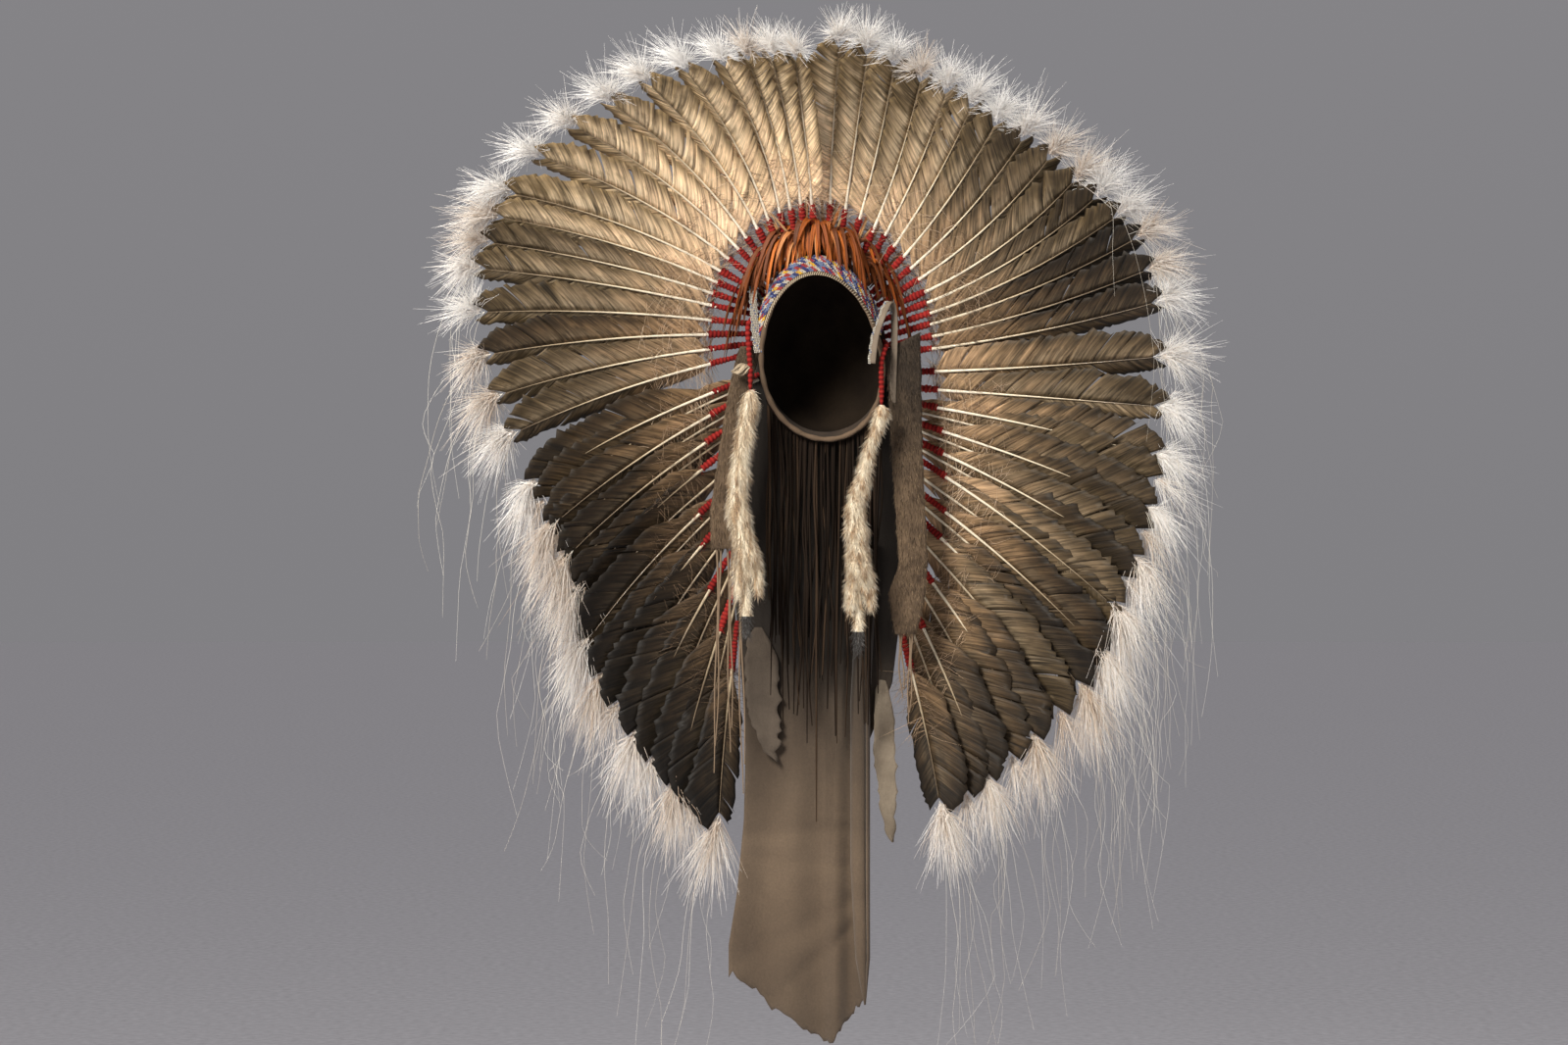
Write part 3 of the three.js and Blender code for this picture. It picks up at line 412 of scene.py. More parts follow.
def bump(tree, shader, height, strength, distance):
    node = tree.nodes.new("ShaderNodeBump")
    node.inputs["Strength"].default_value = strength
    node.inputs["Distance"].default_value = distance
    tree.links.new(height, node.inputs["Height"])
    tree.links.new(node.outputs["Normal"], shader.inputs["Normal"])


def mottledMaterial(name, colour, stain, amount, scale, grain, roughness, depth, **constants):
    material, tree, shader = newMaterial(name, roughness, **constants)
    mottle = tree.nodes.new("ShaderNodeGroup")
    mottle.node_tree = mottleGroup
    for label, value in (("Colour", (*colour, 1)), ("Stain", (*stain, 1)), ("Amount", amount),
                         ("Scale", scale), ("Grain", grain)):
        mottle.inputs[label].default_value = value
    tree.links.new(mottle.outputs["Colour"], shader.inputs["Base Color"])
    bump(tree, shader, mottle.outputs["Height"], 0.5, depth)
    return material


vaneTones = {
    "light": [(0.0, (0.86, 0.62, 0.4)), (0.3, (0.78, 0.56, 0.335)), (0.55, (0.76, 0.57, 0.35)),
              (0.8, (0.56, 0.415, 0.235)), (1.0, (0.32, 0.228, 0.112))],
    "dark": [(0.0, (0.34, 0.215, 0.115)), (0.2, (0.2, 0.125, 0.062)), (0.45, (0.08, 0.049, 0.023)),
             (1.0, (0.026, 0.0165, 0.0075))],
    "paintedSheen": {"light": (0.66, 0.545, 0.37), "dark": (0.12, 0.092, 0.058)},
    "edge": {"light": (0.18, 0.122, 0.056), "dark": (0.015, 0.0095, 0.0042)},
}


def vaneMaterial(name):
    # colour from base to tip, barb streaks, a pale band by the quill that is painted sheen on the vane's grey, and a
    # dark rippled edge; shade above 1 dims the whole vane, partly own dark brown and partly painted shade
    material, tree, shader = newMaterial(name, 0.6, Specular_IOR_Level=0.25)
    along, across, barb, tone, shade = (readValue(tree, key) for key in ("along", "across", "barb", "tone", "shade"))
    streaks = tree.nodes.new("ShaderNodeGroup")
    streaks.node_tree = streakGroup
    streaks.inputs["Density"].default_value = 0.32
    for label, value in (("Barb", barb), ("Across", across), ("Tone", tone)):
        tree.links.new(value, streaks.inputs[label])
    ripple, streak = streaks.outputs["Ripple"], streaks.outputs["Streak"]
    wander = mathNode(tree, "MULTIPLY_ADD", ripple, 0.9, -0.45)
    drift = mathNode(tree, "ADD", wander, mathNode(tree, "MULTIPLY_ADD", tone, 0.3, -0.15))
    place = mathNode(tree, "ADD", along, drift)
    ground = mixColours(tree, shade, ramp(tree, place, vaneTones["light"]), ramp(tree, place, vaneTones["dark"]))
    paintedSheen = mixColours(tree, shade, vaneTones["paintedSheen"]["light"], vaneTones["paintedSheen"]["dark"])
    edgeColour = mixColours(tree, shade, vaneTones["edge"]["light"], vaneTones["edge"]["dark"])
    sheenBand = mathNode(tree, "MULTIPLY", ramp(tree, across, [(0.04, 0.2), (0.22, 1.0), (0.62, 0.0)]),
                     ramp(tree, mathNode(tree, "ADD", along, wander), [(0.2, 0.0), (0.5, 0.9), (1.0, 0.3)]))
    lit = mixColours(tree, mathNode(tree, "MULTIPLY", sheenBand, mathNode(tree, "MULTIPLY_ADD", streak, 1.2, 0.0)),
                     ground, paintedSheen)
    rim = mathNode(tree, "MULTIPLY_ADD", wander, 0.5, across)
    edge = mathNode(tree, "MULTIPLY", ramp(tree, rim, [(0.5, 0.0), (0.92, 1.0)]),
                    ramp(tree, along, [(0.05, 0.1), (0.4, 0.9)]))
    tipward = ramp(tree, place, [(0.82, 0.0), (1.0, 0.8)])
    spread = combine(tree, mathNode(tree, "MULTIPLY", barb, 0.11), mathNode(tree, "MULTIPLY", across, 2.5), tone)
    patch = ramp(tree, noise(tree, spread, 1.0), [(0.5, 0.0), (0.66, 0.6)])
    patches = mathNode(tree, "MULTIPLY", patch, ramp(tree, along, [(0.1, 0.2), (0.6, 1.0)]))
    marks = mathNode(tree, "MAXIMUM", mathNode(tree, "MAXIMUM", edge, tipward), patches)
    edged = mixColours(tree, marks, lit, edgeColour)
    light = mathNode(tree, "MULTIPLY_ADD", streak, 3.2, -0.6)
    # shade above 1 dims a vane further: own dark brown at the lower left, painted shade on the right
    dark = ramp(tree, mathNode(tree, "MULTIPLY", shade, 0.5), [(0.5, 1.0), (0.75, 0.26)])
    light = mathNode(tree, "MULTIPLY", light, dark)
    tree.links.new(dimmed(tree, edged, light), shader.inputs["Base Color"])
    bump(tree, shader, mathNode(tree, "ADD", streak, ripple), 0.55, 0.0014)
    return material


def toneMaterial(name, stops, roughness, key="tone", depth=0.0, **constants):
    # colour by a strand's own tone, with fine variation along it
    material, tree, shader = newMaterial(name, roughness, **constants)
    grain = noise(tree, objectPoint(tree), 260.0)
    value = mathNode(tree, "ADD", readValue(tree, key), mathNode(tree, "MULTIPLY_ADD", grain, 0.3, -0.15))
    tree.links.new(ramp(tree, value, stops), shader.inputs["Base Color"])
    if depth:
        bump(tree, shader, grain, 0.5, depth)
    return material


# form of the cap and the fan, as in the solids

cap = {
    "width": 146, "length": 226, "tilt": 30, "egg": 0.1, "skew": 0.06, "depth": 135, "wall": 2, "gap": 0.3,
    "rise": [0, 0.13, 0.3, 0.55, 0.8, 0.95, 1], "girth": [1, 1.05, 1.07, 1, 0.74, 0.38, 0.14],
}
tilt = math.radians(cap["tilt"])
brow = np.array([0, -math.sin(tilt), math.cos(tilt)])
crown = np.array([0, math.cos(tilt), math.sin(tilt)])
capOutside = cap["wall"] + cap["gap"]


def capPoint(turn, rise, out):
    turn, rise, out = np.broadcast_arrays(np.asarray(turn, float), np.asarray(rise, float), np.asarray(out, float))
    angle = np.radians(turn)
    girth = np.interp(rise, cap["rise"], cap["girth"])
    forward = np.cos(angle) * (cap["length"] / 2 * girth + out)
    aside = np.sin(angle) * (cap["width"] / 2 * girth + out) * (1 - cap["egg"] * np.cos(angle))
    point = forward[..., None] * brow + (rise * (cap["depth"] + out))[..., None] * crown
    point[..., 0] += aside - cap["skew"] * forward
    return point


trail = {
    "length": 780, "half": 112, "wall": 2.5, "turn": 75, "back": 97, "fold": 5, "ring": 55,
    "drop": [0.07, 0.16, 0.3, 0.42, 0.52, 0.64, 0.76, 0.84], "left": [1, 1, 0.95, 0.88, 0.84, 0.86, 0.94, 1.03],
    "right": [1, 0.98, 0.9, 0.8, 0.52, 0.5, 0.5, 0.5], "behind": [0, 0.04, 0.07, 0.08, 0.09, 0.08, 0.1, 0.08],
    "hemAcross": [-1, -0.6, -0.2, 0.2, 0.6, 1], "hemDrop": [0.885, 0.93, 0.975, 1, 0.96, 0.93],
}
ringShare = trail["ring"] / cap["depth"]
napeHeight = capPoint(180, ringShare, capOutside)[2]


def trailPoint(across, drop, away):
    across, drop, away = np.broadcast_arrays(*(np.asarray(value, float) for value in (across, drop, away)))
    left, right, behind = (np.interp(drop, trail["drop"], trail[key]) for key in ("left", "right", "behind"))
    half = trail["half"] * np.where(across < 0, left, right)
    fold = trail["fold"] * np.cos(3 * np.pi * across) * drop
    back = trail["back"] + behind * trail["half"] + fold + away
    return np.stack([across * half, back, napeHeight - drop * trail["length"]], -1)


def trailEdge(side, drop):
    top = capPoint(180 - side * trail["turn"], ringShare, capOutside)
    rows = [top] + [trailPoint(side, value, 0) for value in trail["drop"]]
    drops = [0] + trail["drop"]
    return np.array([np.interp(drop, drops, [row[axis] for row in rows]) for axis in range(3)])


feathers = {
    "count": 26, "single": 18, "length": 350, "wrap": 66, "wrapRadius": 3.3, "wide": 36, "narrow": 16,
    "cup": 2, "roll": 17, "inset": 9,
}
fan = {
    -1: {
        "feather": [0, 3, 6, 9, 12, 16, 18, 20, 22, 25], "clock": [8, 23, 47, 71, 82, 110, 125, 134, 143, 175],
        "sweep": [6, 24, 24, 20, 8, 12, 12, 12, 10, 4], "lean": [48, 40, 29, 21, 18, 13, 11, 10, 7, 3],
        "bow": [30, 26, 18, 12, 10, 8, 8, 6, 6, 4],
        "reach": [0.86, 0.85, 0.9, 1, 1.02, 0.92, 0.85, 0.76, 0.75, 0.71],
        "turn": [0, 28, 47, 62, 76, 100, 100, 100, 100, 100],
        "drop": [0, 0, 0, 0, 0, 0, 0.022, 0.054, 0.146, 0.326],
        "vane": [1, 1, 1, 1, 1, 1.05, 1.12, 1.2, 1.25, 1.2],
    },
    1: {
        "feather": [0, 3, 6, 9, 12, 14, 17, 20, 22, 25], "clock": [3, 17, 35, 54, 68, 79, 103, 128, 137, 168],
        "sweep": [4, -12, -14, -24, -14, -8, 6, 10, 10, 6], "lean": [42, 39, 33.5, 27, 22, 19, 15, 12, 8, 3],
        "bow": [28, 25, 20, 14, 12, 10, 8, 6, 6, 4],
        "reach": [0.86, 0.82, 0.82, 0.89, 0.99, 1, 0.97, 0.93, 0.89, 0.67],
        "turn": [13, 41, 60, 74, 90, 102, 102, 102, 102, 102],
        "drop": [0, 0, 0, 0, 0, 0, 0.027, 0.061, 0.14, 0.326],
        "vane": [1, 1, 1, 1, 1, 1, 1.1, 1.2, 1.25, 1.2],
    },
}


def fanAt(side, feather):
    table = fan[side]
    row = {key: float(np.interp(feather, table["feather"], table[key])) for key in table if key != "feather"}
    row["length"] = row["reach"] * feathers["length"]
    return row


def heading(side, row, share):
    clock = np.radians(row["clock"] + row["sweep"] * (share - 0.5))
    lean = np.radians(row["lean"] + row["bow"] * (share - 0.5))
    return np.stack([side * np.sin(clock) * np.cos(lean), -np.sin(lean), np.cos(clock) * np.cos(lean)], -1)


def quillLine(side, feather, distances):
    row = fanAt(side, feather)
    bend = np.maximum(0, distances - feathers["wrap"]) / (row["length"] - feathers["wrap"])
    first = heading(side, row, np.array(0.0))
    start = capPoint(side * row["turn"], ringShare, cap["wall"]) - first * feathers["wrapRadius"]
    if row["drop"] > 0:
        start = trailEdge(side, row["drop"]) - first * feathers["inset"]
        start = start + ahead * (feathers["wrapRadius"] + cap["gap"])
    steps = np.diff(distances, prepend=0.0)
    middles = np.maximum(0, distances - steps / 2 - feathers["wrap"]) / (row["length"] - feathers["wrap"])
    points = start + np.cumsum(heading(side, row, middles) * steps[:, None], axis=0)
    return points, heading(side, row, bend)


class Feather:
    # one feather's quill line with its directions, at 61 places from the root to the tip
    def __init__(self, side, number, bare=None, behind=0):
        self.side, self.number = side, number
        self.bare = feathers["wrap"] + 3 if bare is None else bare
        self.row = fanAt(side, number)
        self.length = self.row["length"]
        self.distances = np.linspace(0, self.length, 61)
        self.points, self.along = quillLine(side, number, self.distances)
        upper = max(0, number - 1)
        upwards = quillLine(side, upper, self.distances)[0] - quillLine(side, upper + 1, self.distances)[0]
        flat = upwards - np.einsum("ij,ij->i", upwards, self.along)[:, None] * self.along
        self.spacing = np.linalg.norm(flat, axis=1)
        flat = unit(flat)
        facing = unit(np.cross(flat, self.along))
        facing = np.where((facing @ ahead)[:, None] < 0, -facing, facing)
        roll = math.radians(feathers["roll"])
        self.across = flat * math.cos(roll) + facing * math.sin(roll)
        self.front = facing * math.cos(roll) - flat * math.sin(roll)
        self.points = self.points - behind * self.front

    def at(self, distance, what="points"):
        table = getattr(self, what)
        distance = np.clip(distance, 0, self.length)
        return np.stack([np.interp(distance, self.distances, table[:, axis]) for axis in range(3)], -1)


fanFeathers = [Feather(side, number) for side in (-1, 1) for number in range(feathers["count"])]
backRow = {"numbers": [17.5, 18.5, 19.5, 20.5, 21.5, 22.5, 23.5, 24.5], "bare": 6, "behind": 5}
backFeathers = [Feather(side, number, backRow["bare"], backRow["behind"])
                for side in (-1, 1) for number in backRow["numbers"]]
sideNames = {-1: "left", 1: "right"}


def nodesOf(side):
    name = sideNames[side]
    single = [f"feather_{name}_{number + 1:02d}" for number in range(feathers["single"])]
    return single + [f"feather_pair_{name}_{number + 1:02d}" for number in range(4)]


print("stage: trees, shader groups and fan worked out")

# vanes: sheets of barbs that part here and there
vanes = {
    "rowStep": 5.5, "columns": 6, "locks": (5, 17), "split": 1.1, "lift": 0.6, "thickness": 0.5, "rootEnd": 22,
    "beyond": 18, "lowAlong": [0, 0.12, 0.3], "lowWidth": [0.2, 0.6, 1],
    "forward": 36, "narrowForward": 24, "forwardAt": [0, 0.2, 0.8, 1], "forwardShare": [0.4, 0.9, 1, 0.62],
    "tipRound": 42, "wideShare": 1.08, "narrowShare": 1.25, "clear": 0.94, "ragged": 0.06, "seed": 41,
    "along": [0, 0.06, 0.2, 0.6, 0.8, 1], "width": [0.35, 0.7, 0.92, 1, 0.95, 0.78],
}
# shade of each feather's vanes: partly their own colour, dark brown at the lower left, and partly painted shade that
# keeps the right-hand feathers darker than the left-hand ones, which the key light from the left reaches
vaneShade = {
    -1: {"feather": [0, 8, 9, 12, 15, 18, 20, 25], "shade": [0.05, 0.08, 0.3, 0.7, 0.85, 1.1, 1.42, 1.5]},
    1: {"feather": [0, 2, 4, 8, 13, 17, 20, 25], "shade": [0.2, 0.35, 0.45, 0.85, 1.28, 0.85, 0.95, 1.25]},
}
print("stage: building vanes")


# extra darkness for quills and down on the darkest feathers: partly their own colour, partly painted shade
def darkness(feather):
    table = vaneShade[feather.side]
    return np.clip(np.interp(feather.number, table["feather"], table["shade"]) - 0.9, 0, 0.6)


strand = strandTree()
beads = beadTree()


def settleStrands(paths, name, material, sides, slot, *nodes):
    source = paths.build(name + "Paths")
    return settle(grow(source, strand, name, material, Sides=sides, Thickness=1.0), slot, *nodes)


def addVane(pile, feather, rng, wide):
    tip = feather.length + vanes["beyond"]
    start, last = feather.bare, tip - vanes["rootEnd"]
    key = "wide" if wide else "narrow"
    widest = feathers[key] * feather.row["vane"] * vanes[key + "Share"]
    if feather.number == 0 and feather.side < 0:
        widest = feathers["narrow"] * vanes["narrowShare"]
    reach = vanes["forward"] if wide else vanes["narrowForward"]
    curve = vanes["tipRound"] if wide else vanes["tipRound"] * 0.6
    hand = 1 if wide else -1
    table = vaneShade[feather.side]
    tone = rng.random()
    shade = np.clip(np.interp(feather.number, table["feather"], table["shade"]) + rng.normal(0, 0.1), 0, 1.5)
    outwards = np.linspace(0, 1, vanes["columns"])[None, :]
    place = start
    while place < last - 1:
        ends = place + vanes["rowStep"] * (int(rng.integers(*vanes["locks"])) - 1)
        if ends > last - 3 * vanes["rowStep"]:
            ends = last
        rows = max(3, int(round((ends - place) / vanes["rowStep"])) + 1)
        roots = np.linspace(place, ends, rows)
        share = (roots - start) / (last - start)
        forward = reach * np.interp(share, vanes["forwardAt"], vanes["forwardShare"])
        final = roots + forward
        width = widest * np.interp((final - start) / (tip - start), vanes["along"], vanes["width"])
        if feather.number > feathers["single"] - 2:
            width = width * np.interp((final - start) / (tip - start), vanes["lowAlong"], vanes["lowWidth"])
        width = width * np.sqrt(np.clip(1 - (np.maximum(0, final - tip + curve) / (curve + 3)) ** 2, 0.01, 1))
        if wide and feather.number > 0:
            width = np.minimum(width, vanes["clear"] * np.interp(final, feather.distances, feather.spacing))
        width = width * (1 + rng.normal(0, vanes["ragged"], rows) * (0.4 + share)) * rng.uniform(0.96, 1.02)
        split = min(vanes["split"] * rng.exponential(1.0) * (0.4 + share.mean()), 7) / max(ends - place, 14)
        distance = roots.mean() + (roots - roots.mean())[:, None] * (1 - split * outwards ** 3)
        distance = distance + forward[:, None] * outwards ** 1.2
        lateral = width[:, None] * outwards
        over = np.maximum(0, distance - feather.length)
        lift = rng.normal(0, vanes["lift"]) * outwards ** 2 - feathers["cup"] * outwards ** 2
        frontwards = feather.at(distance, "front")
        body = feather.at(distance) + over[..., None] * feather.at(distance, "along")
        body = body + hand * lateral[..., None] * feather.at(distance, "across") + lift[..., None] * frontwards
        half = vanes["thickness"] / 2 * frontwards
        alongShare = (distance - start) / (tip - start)
        pile.addSheet(body + half, body - half, along=alongShare, across=outwards + 0 * share[:, None],
                      barb=roots[:, None] + 0 * outwards + tone * 400, tone=tone, shade=shade)
        place = ends


for side in (-1, 1):
    rng = np.random.default_rng(vanes["seed"] + side)
    pile = Pile()
    for feather in fanFeathers + backFeathers:
        if feather.side == side:
            addVane(pile, feather, rng, True)
            addVane(pile, feather, rng, False)
    piece = pile.build("vanes_" + sideNames[side], vaneMaterial("vane " + sideNames[side]))
    settle(piece, "feather", *nodesOf(side))
    print("stage: vanes", sideNames[side], len(piece.data.polygons) * 2, "triangles")

# quills and wool wraps

quills = {"thick": 2.4, "thin": 0.35, "rise": 1.1, "points": 16}
paths = Paths()
for feather in fanFeathers + backFeathers:
    distance = np.linspace(feather.bare - 9, feather.length - 4, quills["points"])
    line = feather.at(distance) + quills["rise"] * feather.at(distance, "front")
    share = np.linspace(0, 1, quills["points"])
    # quills are darker on the darkest feathers: partly their own colour, partly painted shade
    paths.add(line, thickness=quills["thick"] + (quills["thin"] - quills["thick"]) * share ** 0.62,
              tone=np.clip(share + darkness(feather), 0, 1))
quillStops = [(0.0, (0.86, 0.8, 0.66)), (0.4, (0.74, 0.65, 0.48)), (0.7, (0.42, 0.33, 0.21)), (1.0, (0.14, 0.1, 0.06))]
quillMaterial = toneMaterial("quill horn", quillStops, 0.35, Coat_Weight=0.15)
settleStrands(paths, "quills", quillMaterial, 6, "cream")

wraps = {"turns": 13, "ripple": 0.26, "points": 58, "seed": 5, "frayStrands": 22, "outer": 1.3}
rng = np.random.default_rng(wraps["seed"])
paths, frayed = Paths(), Paths()
for feather in fanFeathers:
    distance = np.linspace(4, feathers["wrap"] + rng.uniform(-3, 3), wraps["points"])
    phase = rng.uniform(0, 6)
    turns = wraps["turns"] * rng.uniform(0.9, 1.1)
    swell = 1 + wraps["ripple"] * np.sin(2 * np.pi * turns * np.linspace(0, 1, wraps["points"]) + phase) * 0.5
    swell = swell * (1 + 0.12 * np.interp(np.linspace(0, 9, wraps["points"]), range(10), rng.normal(0, 1, 10)))
    radius = feathers["wrapRadius"] * np.clip(swell, 0.7, 1.35) * np.linspace(1, wraps["outer"], wraps["points"])
    radius[[0, -1]] *= 0.7
    # painted shade: the wool is darker between the turns and lighter on their ridges
    grooveShade = 0.35 * np.sin(2 * np.pi * turns * np.linspace(0, 1, wraps["points"]) + phase)
    paths.add(feather.at(distance), thickness=radius, tone=np.clip(rng.uniform(0.25, 0.75) + grooveShade, 0, 1))
    end = feather.at(feathers["wrap"])
    out = unit(rng.normal(0, 1, (wraps["frayStrands"], 3)) + feather.at(feathers["wrap"], "along") * 0.6)
    steps = np.linspace(0, 1, 3)[None, :, None]
    frayed.add(end + out[:, None, :] * (2.2 + 5 * steps) + down * 1.5 * steps ** 2, thickness=0.22, tone=rng.random())
wrapStops = [(0.0, (0.085, 0.005, 0.005)), (0.5, (0.19, 0.011, 0.01)), (1.0, (0.31, 0.026, 0.02))]
wrapMaterial = toneMaterial("wound wool", wrapStops, 0.95, depth=0.0008, Specular_IOR_Level=0.15)
settleStrands(paths, "wool_wraps", wrapMaterial, 8, "wool")
settleStrands(frayed, "frayed_wool", wrapMaterial, 3, "wool")
print("stage: quills and wraps")

# brown down at the blades' bases, and the white tufts at their tips
baseDown = {"strands": 160, "length": (14, 40), "reach": 84, "thickness": 0.32, "seed": 17, "inward": 26}
rng = np.random.default_rng(baseDown["seed"])
paths = Paths()
for feather in fanFeathers:
    count = baseDown["strands"]
    inward = baseDown["inward"] if feather.row["clock"] < 62 else 4
    distance = feathers["wrap"] - inward + (baseDown["reach"] + inward) * rng.random(count) ** 1.5
    along, across, front = (feather.at(distance, key) for key in ("along", "across", "front"))
    beside = (distance > feathers["wrap"] + 2)[:, None]
    root = feather.at(distance) - np.where(beside, 1.0, 6.0) * front
    aside = rng.choice([-1, 1], count)[:, None]
    forwards = np.where(beside, rng.uniform(-0.6, 0.8, (count, 1)), rng.uniform(-0.9, -0.3, (count, 1)))
    out = unit(across * aside + along * rng.uniform(-0.5, 0.9, (count, 1)) + front * forwards)
    length = rng.uniform(*baseDown["length"], (count, 1, 1))
    steps = np.linspace(0, 1, 3)[None, :, None]
    curl = rng.normal(0, 0.25, (count, 1, 3)) * steps ** 2
    lines = root[:, None, :] + length * (out[:, None, :] * steps + curl + down * 0.2 * steps ** 2)
    # down is darker on the darkest feathers: partly its own colour, partly painted shade
    tone = rng.random((count, 1)) * (1 - 1.5 * darkness(feather))
    paths.add(lines, thickness=baseDown["thickness"] * (1.2 - steps[0, :, 0]), tone=tone)
downStops = [(0.0, (0.045, 0.028, 0.016)), (0.14, (0.24, 0.155, 0.09)), (0.5, (0.5, 0.35, 0.225)), (1.0, (0.76, 0.6, 0.44))]
downMaterial = toneMaterial("brown down", downStops, 0.9)
settleStrands(paths, "base_down", downMaterial, 3, "feather")

plumes = {
    "strands": 300, "backStrands": 70, "length": 62, "thick": 0.33, "points": 3, "seed": 23, "behind": 4,
    "aside": 33, "back": 17,
    "clock": [0, 40, 90, 112, 130, 180], "size": [0.74, 0.95, 1, 1.05, 1.2, 1.1],
    "droop": [0, 0.05, 0.3, 0.8, 1.7, 1.6], "spread": [56, 54, 52, 44, 32, 28],
    "tint": [0.85, 0.8, 0.7, 0.55, 0.38, 0.32], "tanned": 0.25,
}
plumeStops = [(0.0, (0.5, 0.37, 0.26)), (0.35, (0.74, 0.65, 0.56)), (0.7, (0.88, 0.85, 0.81)), (1.0, (0.95, 0.94, 0.92))]
plumeMaterial = toneMaterial("marabou down", plumeStops, 0.85, Sheen_Weight=0.2)
low, high = (np.array(corner) / mm for corner in cadBox)
for side in (-1, 1):
    rng = np.random.default_rng(plumes["seed"] + side)
    paths = Paths()
    for feather in fanFeathers + backFeathers:
        if feather.side != side:
            continue
        count = plumes["strands" if feather in fanFeathers else "backStrands"]
        clock = feather.row["clock"]
        size, hang, spread, pale = (np.interp(clock, plumes["clock"], plumes[key])
                                    for key in ("size", "droop", "spread", "tint"))
        along, across, front = (feather.at(feather.length, key) for key in ("along", "across", "front"))
        seat = vanes["beyond"] - rng.uniform(1, 13, (count, 1))
        root = feather.at(feather.length) + seat * along - plumes["behind"] * front
        axis = unit(along + down * hang * rng.uniform(0.6, 1.3) + across * rng.normal(0, 0.3))
        aside = unit(across - axis * (across @ axis))
        angle = np.radians(rng.normal(0, spread, count))
        lean = np.radians(rng.normal(10, 15, count))
        direction = (np.cos(angle) * np.cos(lean))[:, None] * axis + (np.sin(angle) * np.cos(lean))[:, None] * aside
        direction = direction - np.sin(lean)[:, None] * front
        length = plumes["length"] * size * rng.uniform(0.9, 1.1) * rng.uniform(0.4, 1.0, count)
        length = length * np.clip(np.cos(angle * 0.6), 0.35, 1)
        steps = np.linspace(0, 1, plumes["points"])[None, :, None]
        curl = rng.normal(0, 0.16, (count, 1, 3)) * steps ** 2 + rng.normal(0, 0.05, (count, plumes["points"], 3))
        sag = down * min(0.08 + 0.35 * hang, 0.5) * steps ** 2
        lines = root[:, None, :] + length[:, None, None] * (direction[:, None, :] * steps + curl + sag)
        lines[..., 0] = np.clip(lines[..., 0], low[0] - plumes["aside"], high[0] + plumes["aside"])
        lines[..., 1] = np.minimum(lines[..., 1], high[1] + plumes["back"])
        tint = pale * (0.35 if rng.random() < plumes["tanned"] else rng.uniform(0.7, 1.2))
        tone = np.clip(tint + rng.normal(0, 0.2, (count, 1)) + 0.3 * steps[..., 0], 0, 1)
        paths.add(lines, thickness=plumes["thick"] * (1.15 - steps[0, :, 0] * 0.85), tone=tone)
    name = "tip_plumes_" + sideNames[side]
    piece = settleStrands(paths, name, plumeMaterial, 3, "ermine")
    print("stage: plumes", sideNames[side], len(piece.data.polygons))

hairs = {
    "points": 16, "length": (110, 330), "thickness": 0.2, "seed": 31, "margin": 28,
    "feather": {-1: [11, 12, 15, 19, 25], 1: [9, 12, 16, 20, 25]}, "each": {-1: [1, 3, 3, 6, 5], 1: [1, 3, 5, 14, 9]},
}
rng = np.random.default_rng(hairs["seed"])
paths = Paths()
for feather in fanFeathers:
    each = np.interp(feather.number, hairs["feather"][feather.side], hairs["each"][feather.side], left=0)
    for strandNumber in range(int(each)):
        tip, along = (feather.at(feather.length, key) for key in ("points", "along"))
        length = rng.uniform(*hairs["length"])
        steps = np.linspace(0, 1, hairs["points"])[:, None]
        outside = np.array([feather.side * rng.uniform(0.2, 1.6), rng.normal(0, 0.4), 0])
        run = unit(along + outside) * rng.uniform(20, 95)
        sway = np.stack([np.interp(steps[:, 0] * 4, range(5), rng.normal(0, 13, 5)) for _ in range(3)], -1) * steps
        line = tip + run * (1 - np.exp(-4 * steps)) + down * length * steps ** 1.25 + sway
        line[:, 0] = np.clip(line[:, 0], low[0] - hairs["margin"], high[0] + hairs["margin"])
        line[:, 2] = np.maximum(line[:, 2], low[2] - hairs["margin"])
        paths.add(line, thickness=hairs["thickness"] * (1.1 - 0.6 * steps[:, 0]), tone=rng.random())
hairStops = [(0.0, (0.62, 0.56, 0.46)), (1.0, (0.9, 0.87, 0.78))]
hairMaterial = toneMaterial("long hair", hairStops, 0.4)
settleStrands(paths, "tip_hairs", hairMaterial, 3, "cream")
print("stage: down, plumes and hair strands")

# cap, rim stitching and brow beads

shell = {"around": 96, "rises": 30, "lining": (0.4, 1.4), "stitches": 60, "stitchTurn": 66}
pile = Pile()
turns = np.linspace(0, 360, shell["around"] + 1)[:-1]
rises = np.concatenate([np.linspace(0, 0.95, shell["rises"]), [0.98, 1.0]])
outer = capPoint(turns[None, :], rises[:, None], cap["wall"])
inner = capPoint(turns[None, :], np.concatenate([[0.0], rises[1:]])[:, None], 0)
rings = np.concatenate([inner[::-1], outer])
count, around = rings.shape[:2]
index = np.arange(count * around).reshape(count, around)
nextOne = np.roll(index, -1, axis=1)
quads = np.stack([index[:-1], nextOne[:-1], nextOne[1:], index[1:]], -1).reshape(-1, 4)
points = rings.reshape(-1, 3)
poles = np.stack([inner[-1].mean(axis=0), outer[-1].mean(axis=0)])
points = np.concatenate([points, poles])
half = around // 2
first, final = index[0], index[-1]
base = count * around


def closePole(ring, pole, flip):
    even = slice(0, 2 * half, 2)
    fans = np.stack([np.full(half, pole), ring[even], ring[1:2 * half:2], np.roll(ring, -2)[even]], -1)
    return fans[:, ::-1] if flip else fans


quads = np.concatenate([quads, closePole(first, base, True), closePole(final, base + 1, False)])
pile.add(points, quads)
# the cap's own dark hide, made near black as painted shade for the hollow
capMaterial = mottledMaterial("dark suede and painted shade", (0.017, 0.012, 0.008), (0.007, 0.005, 0.004), 0.9, 22, 500, 1.0, 0.0006,
                             Specular_IOR_Level=0.05)
settle(pile.build("cap_shell", capMaterial), "hide", "cap")

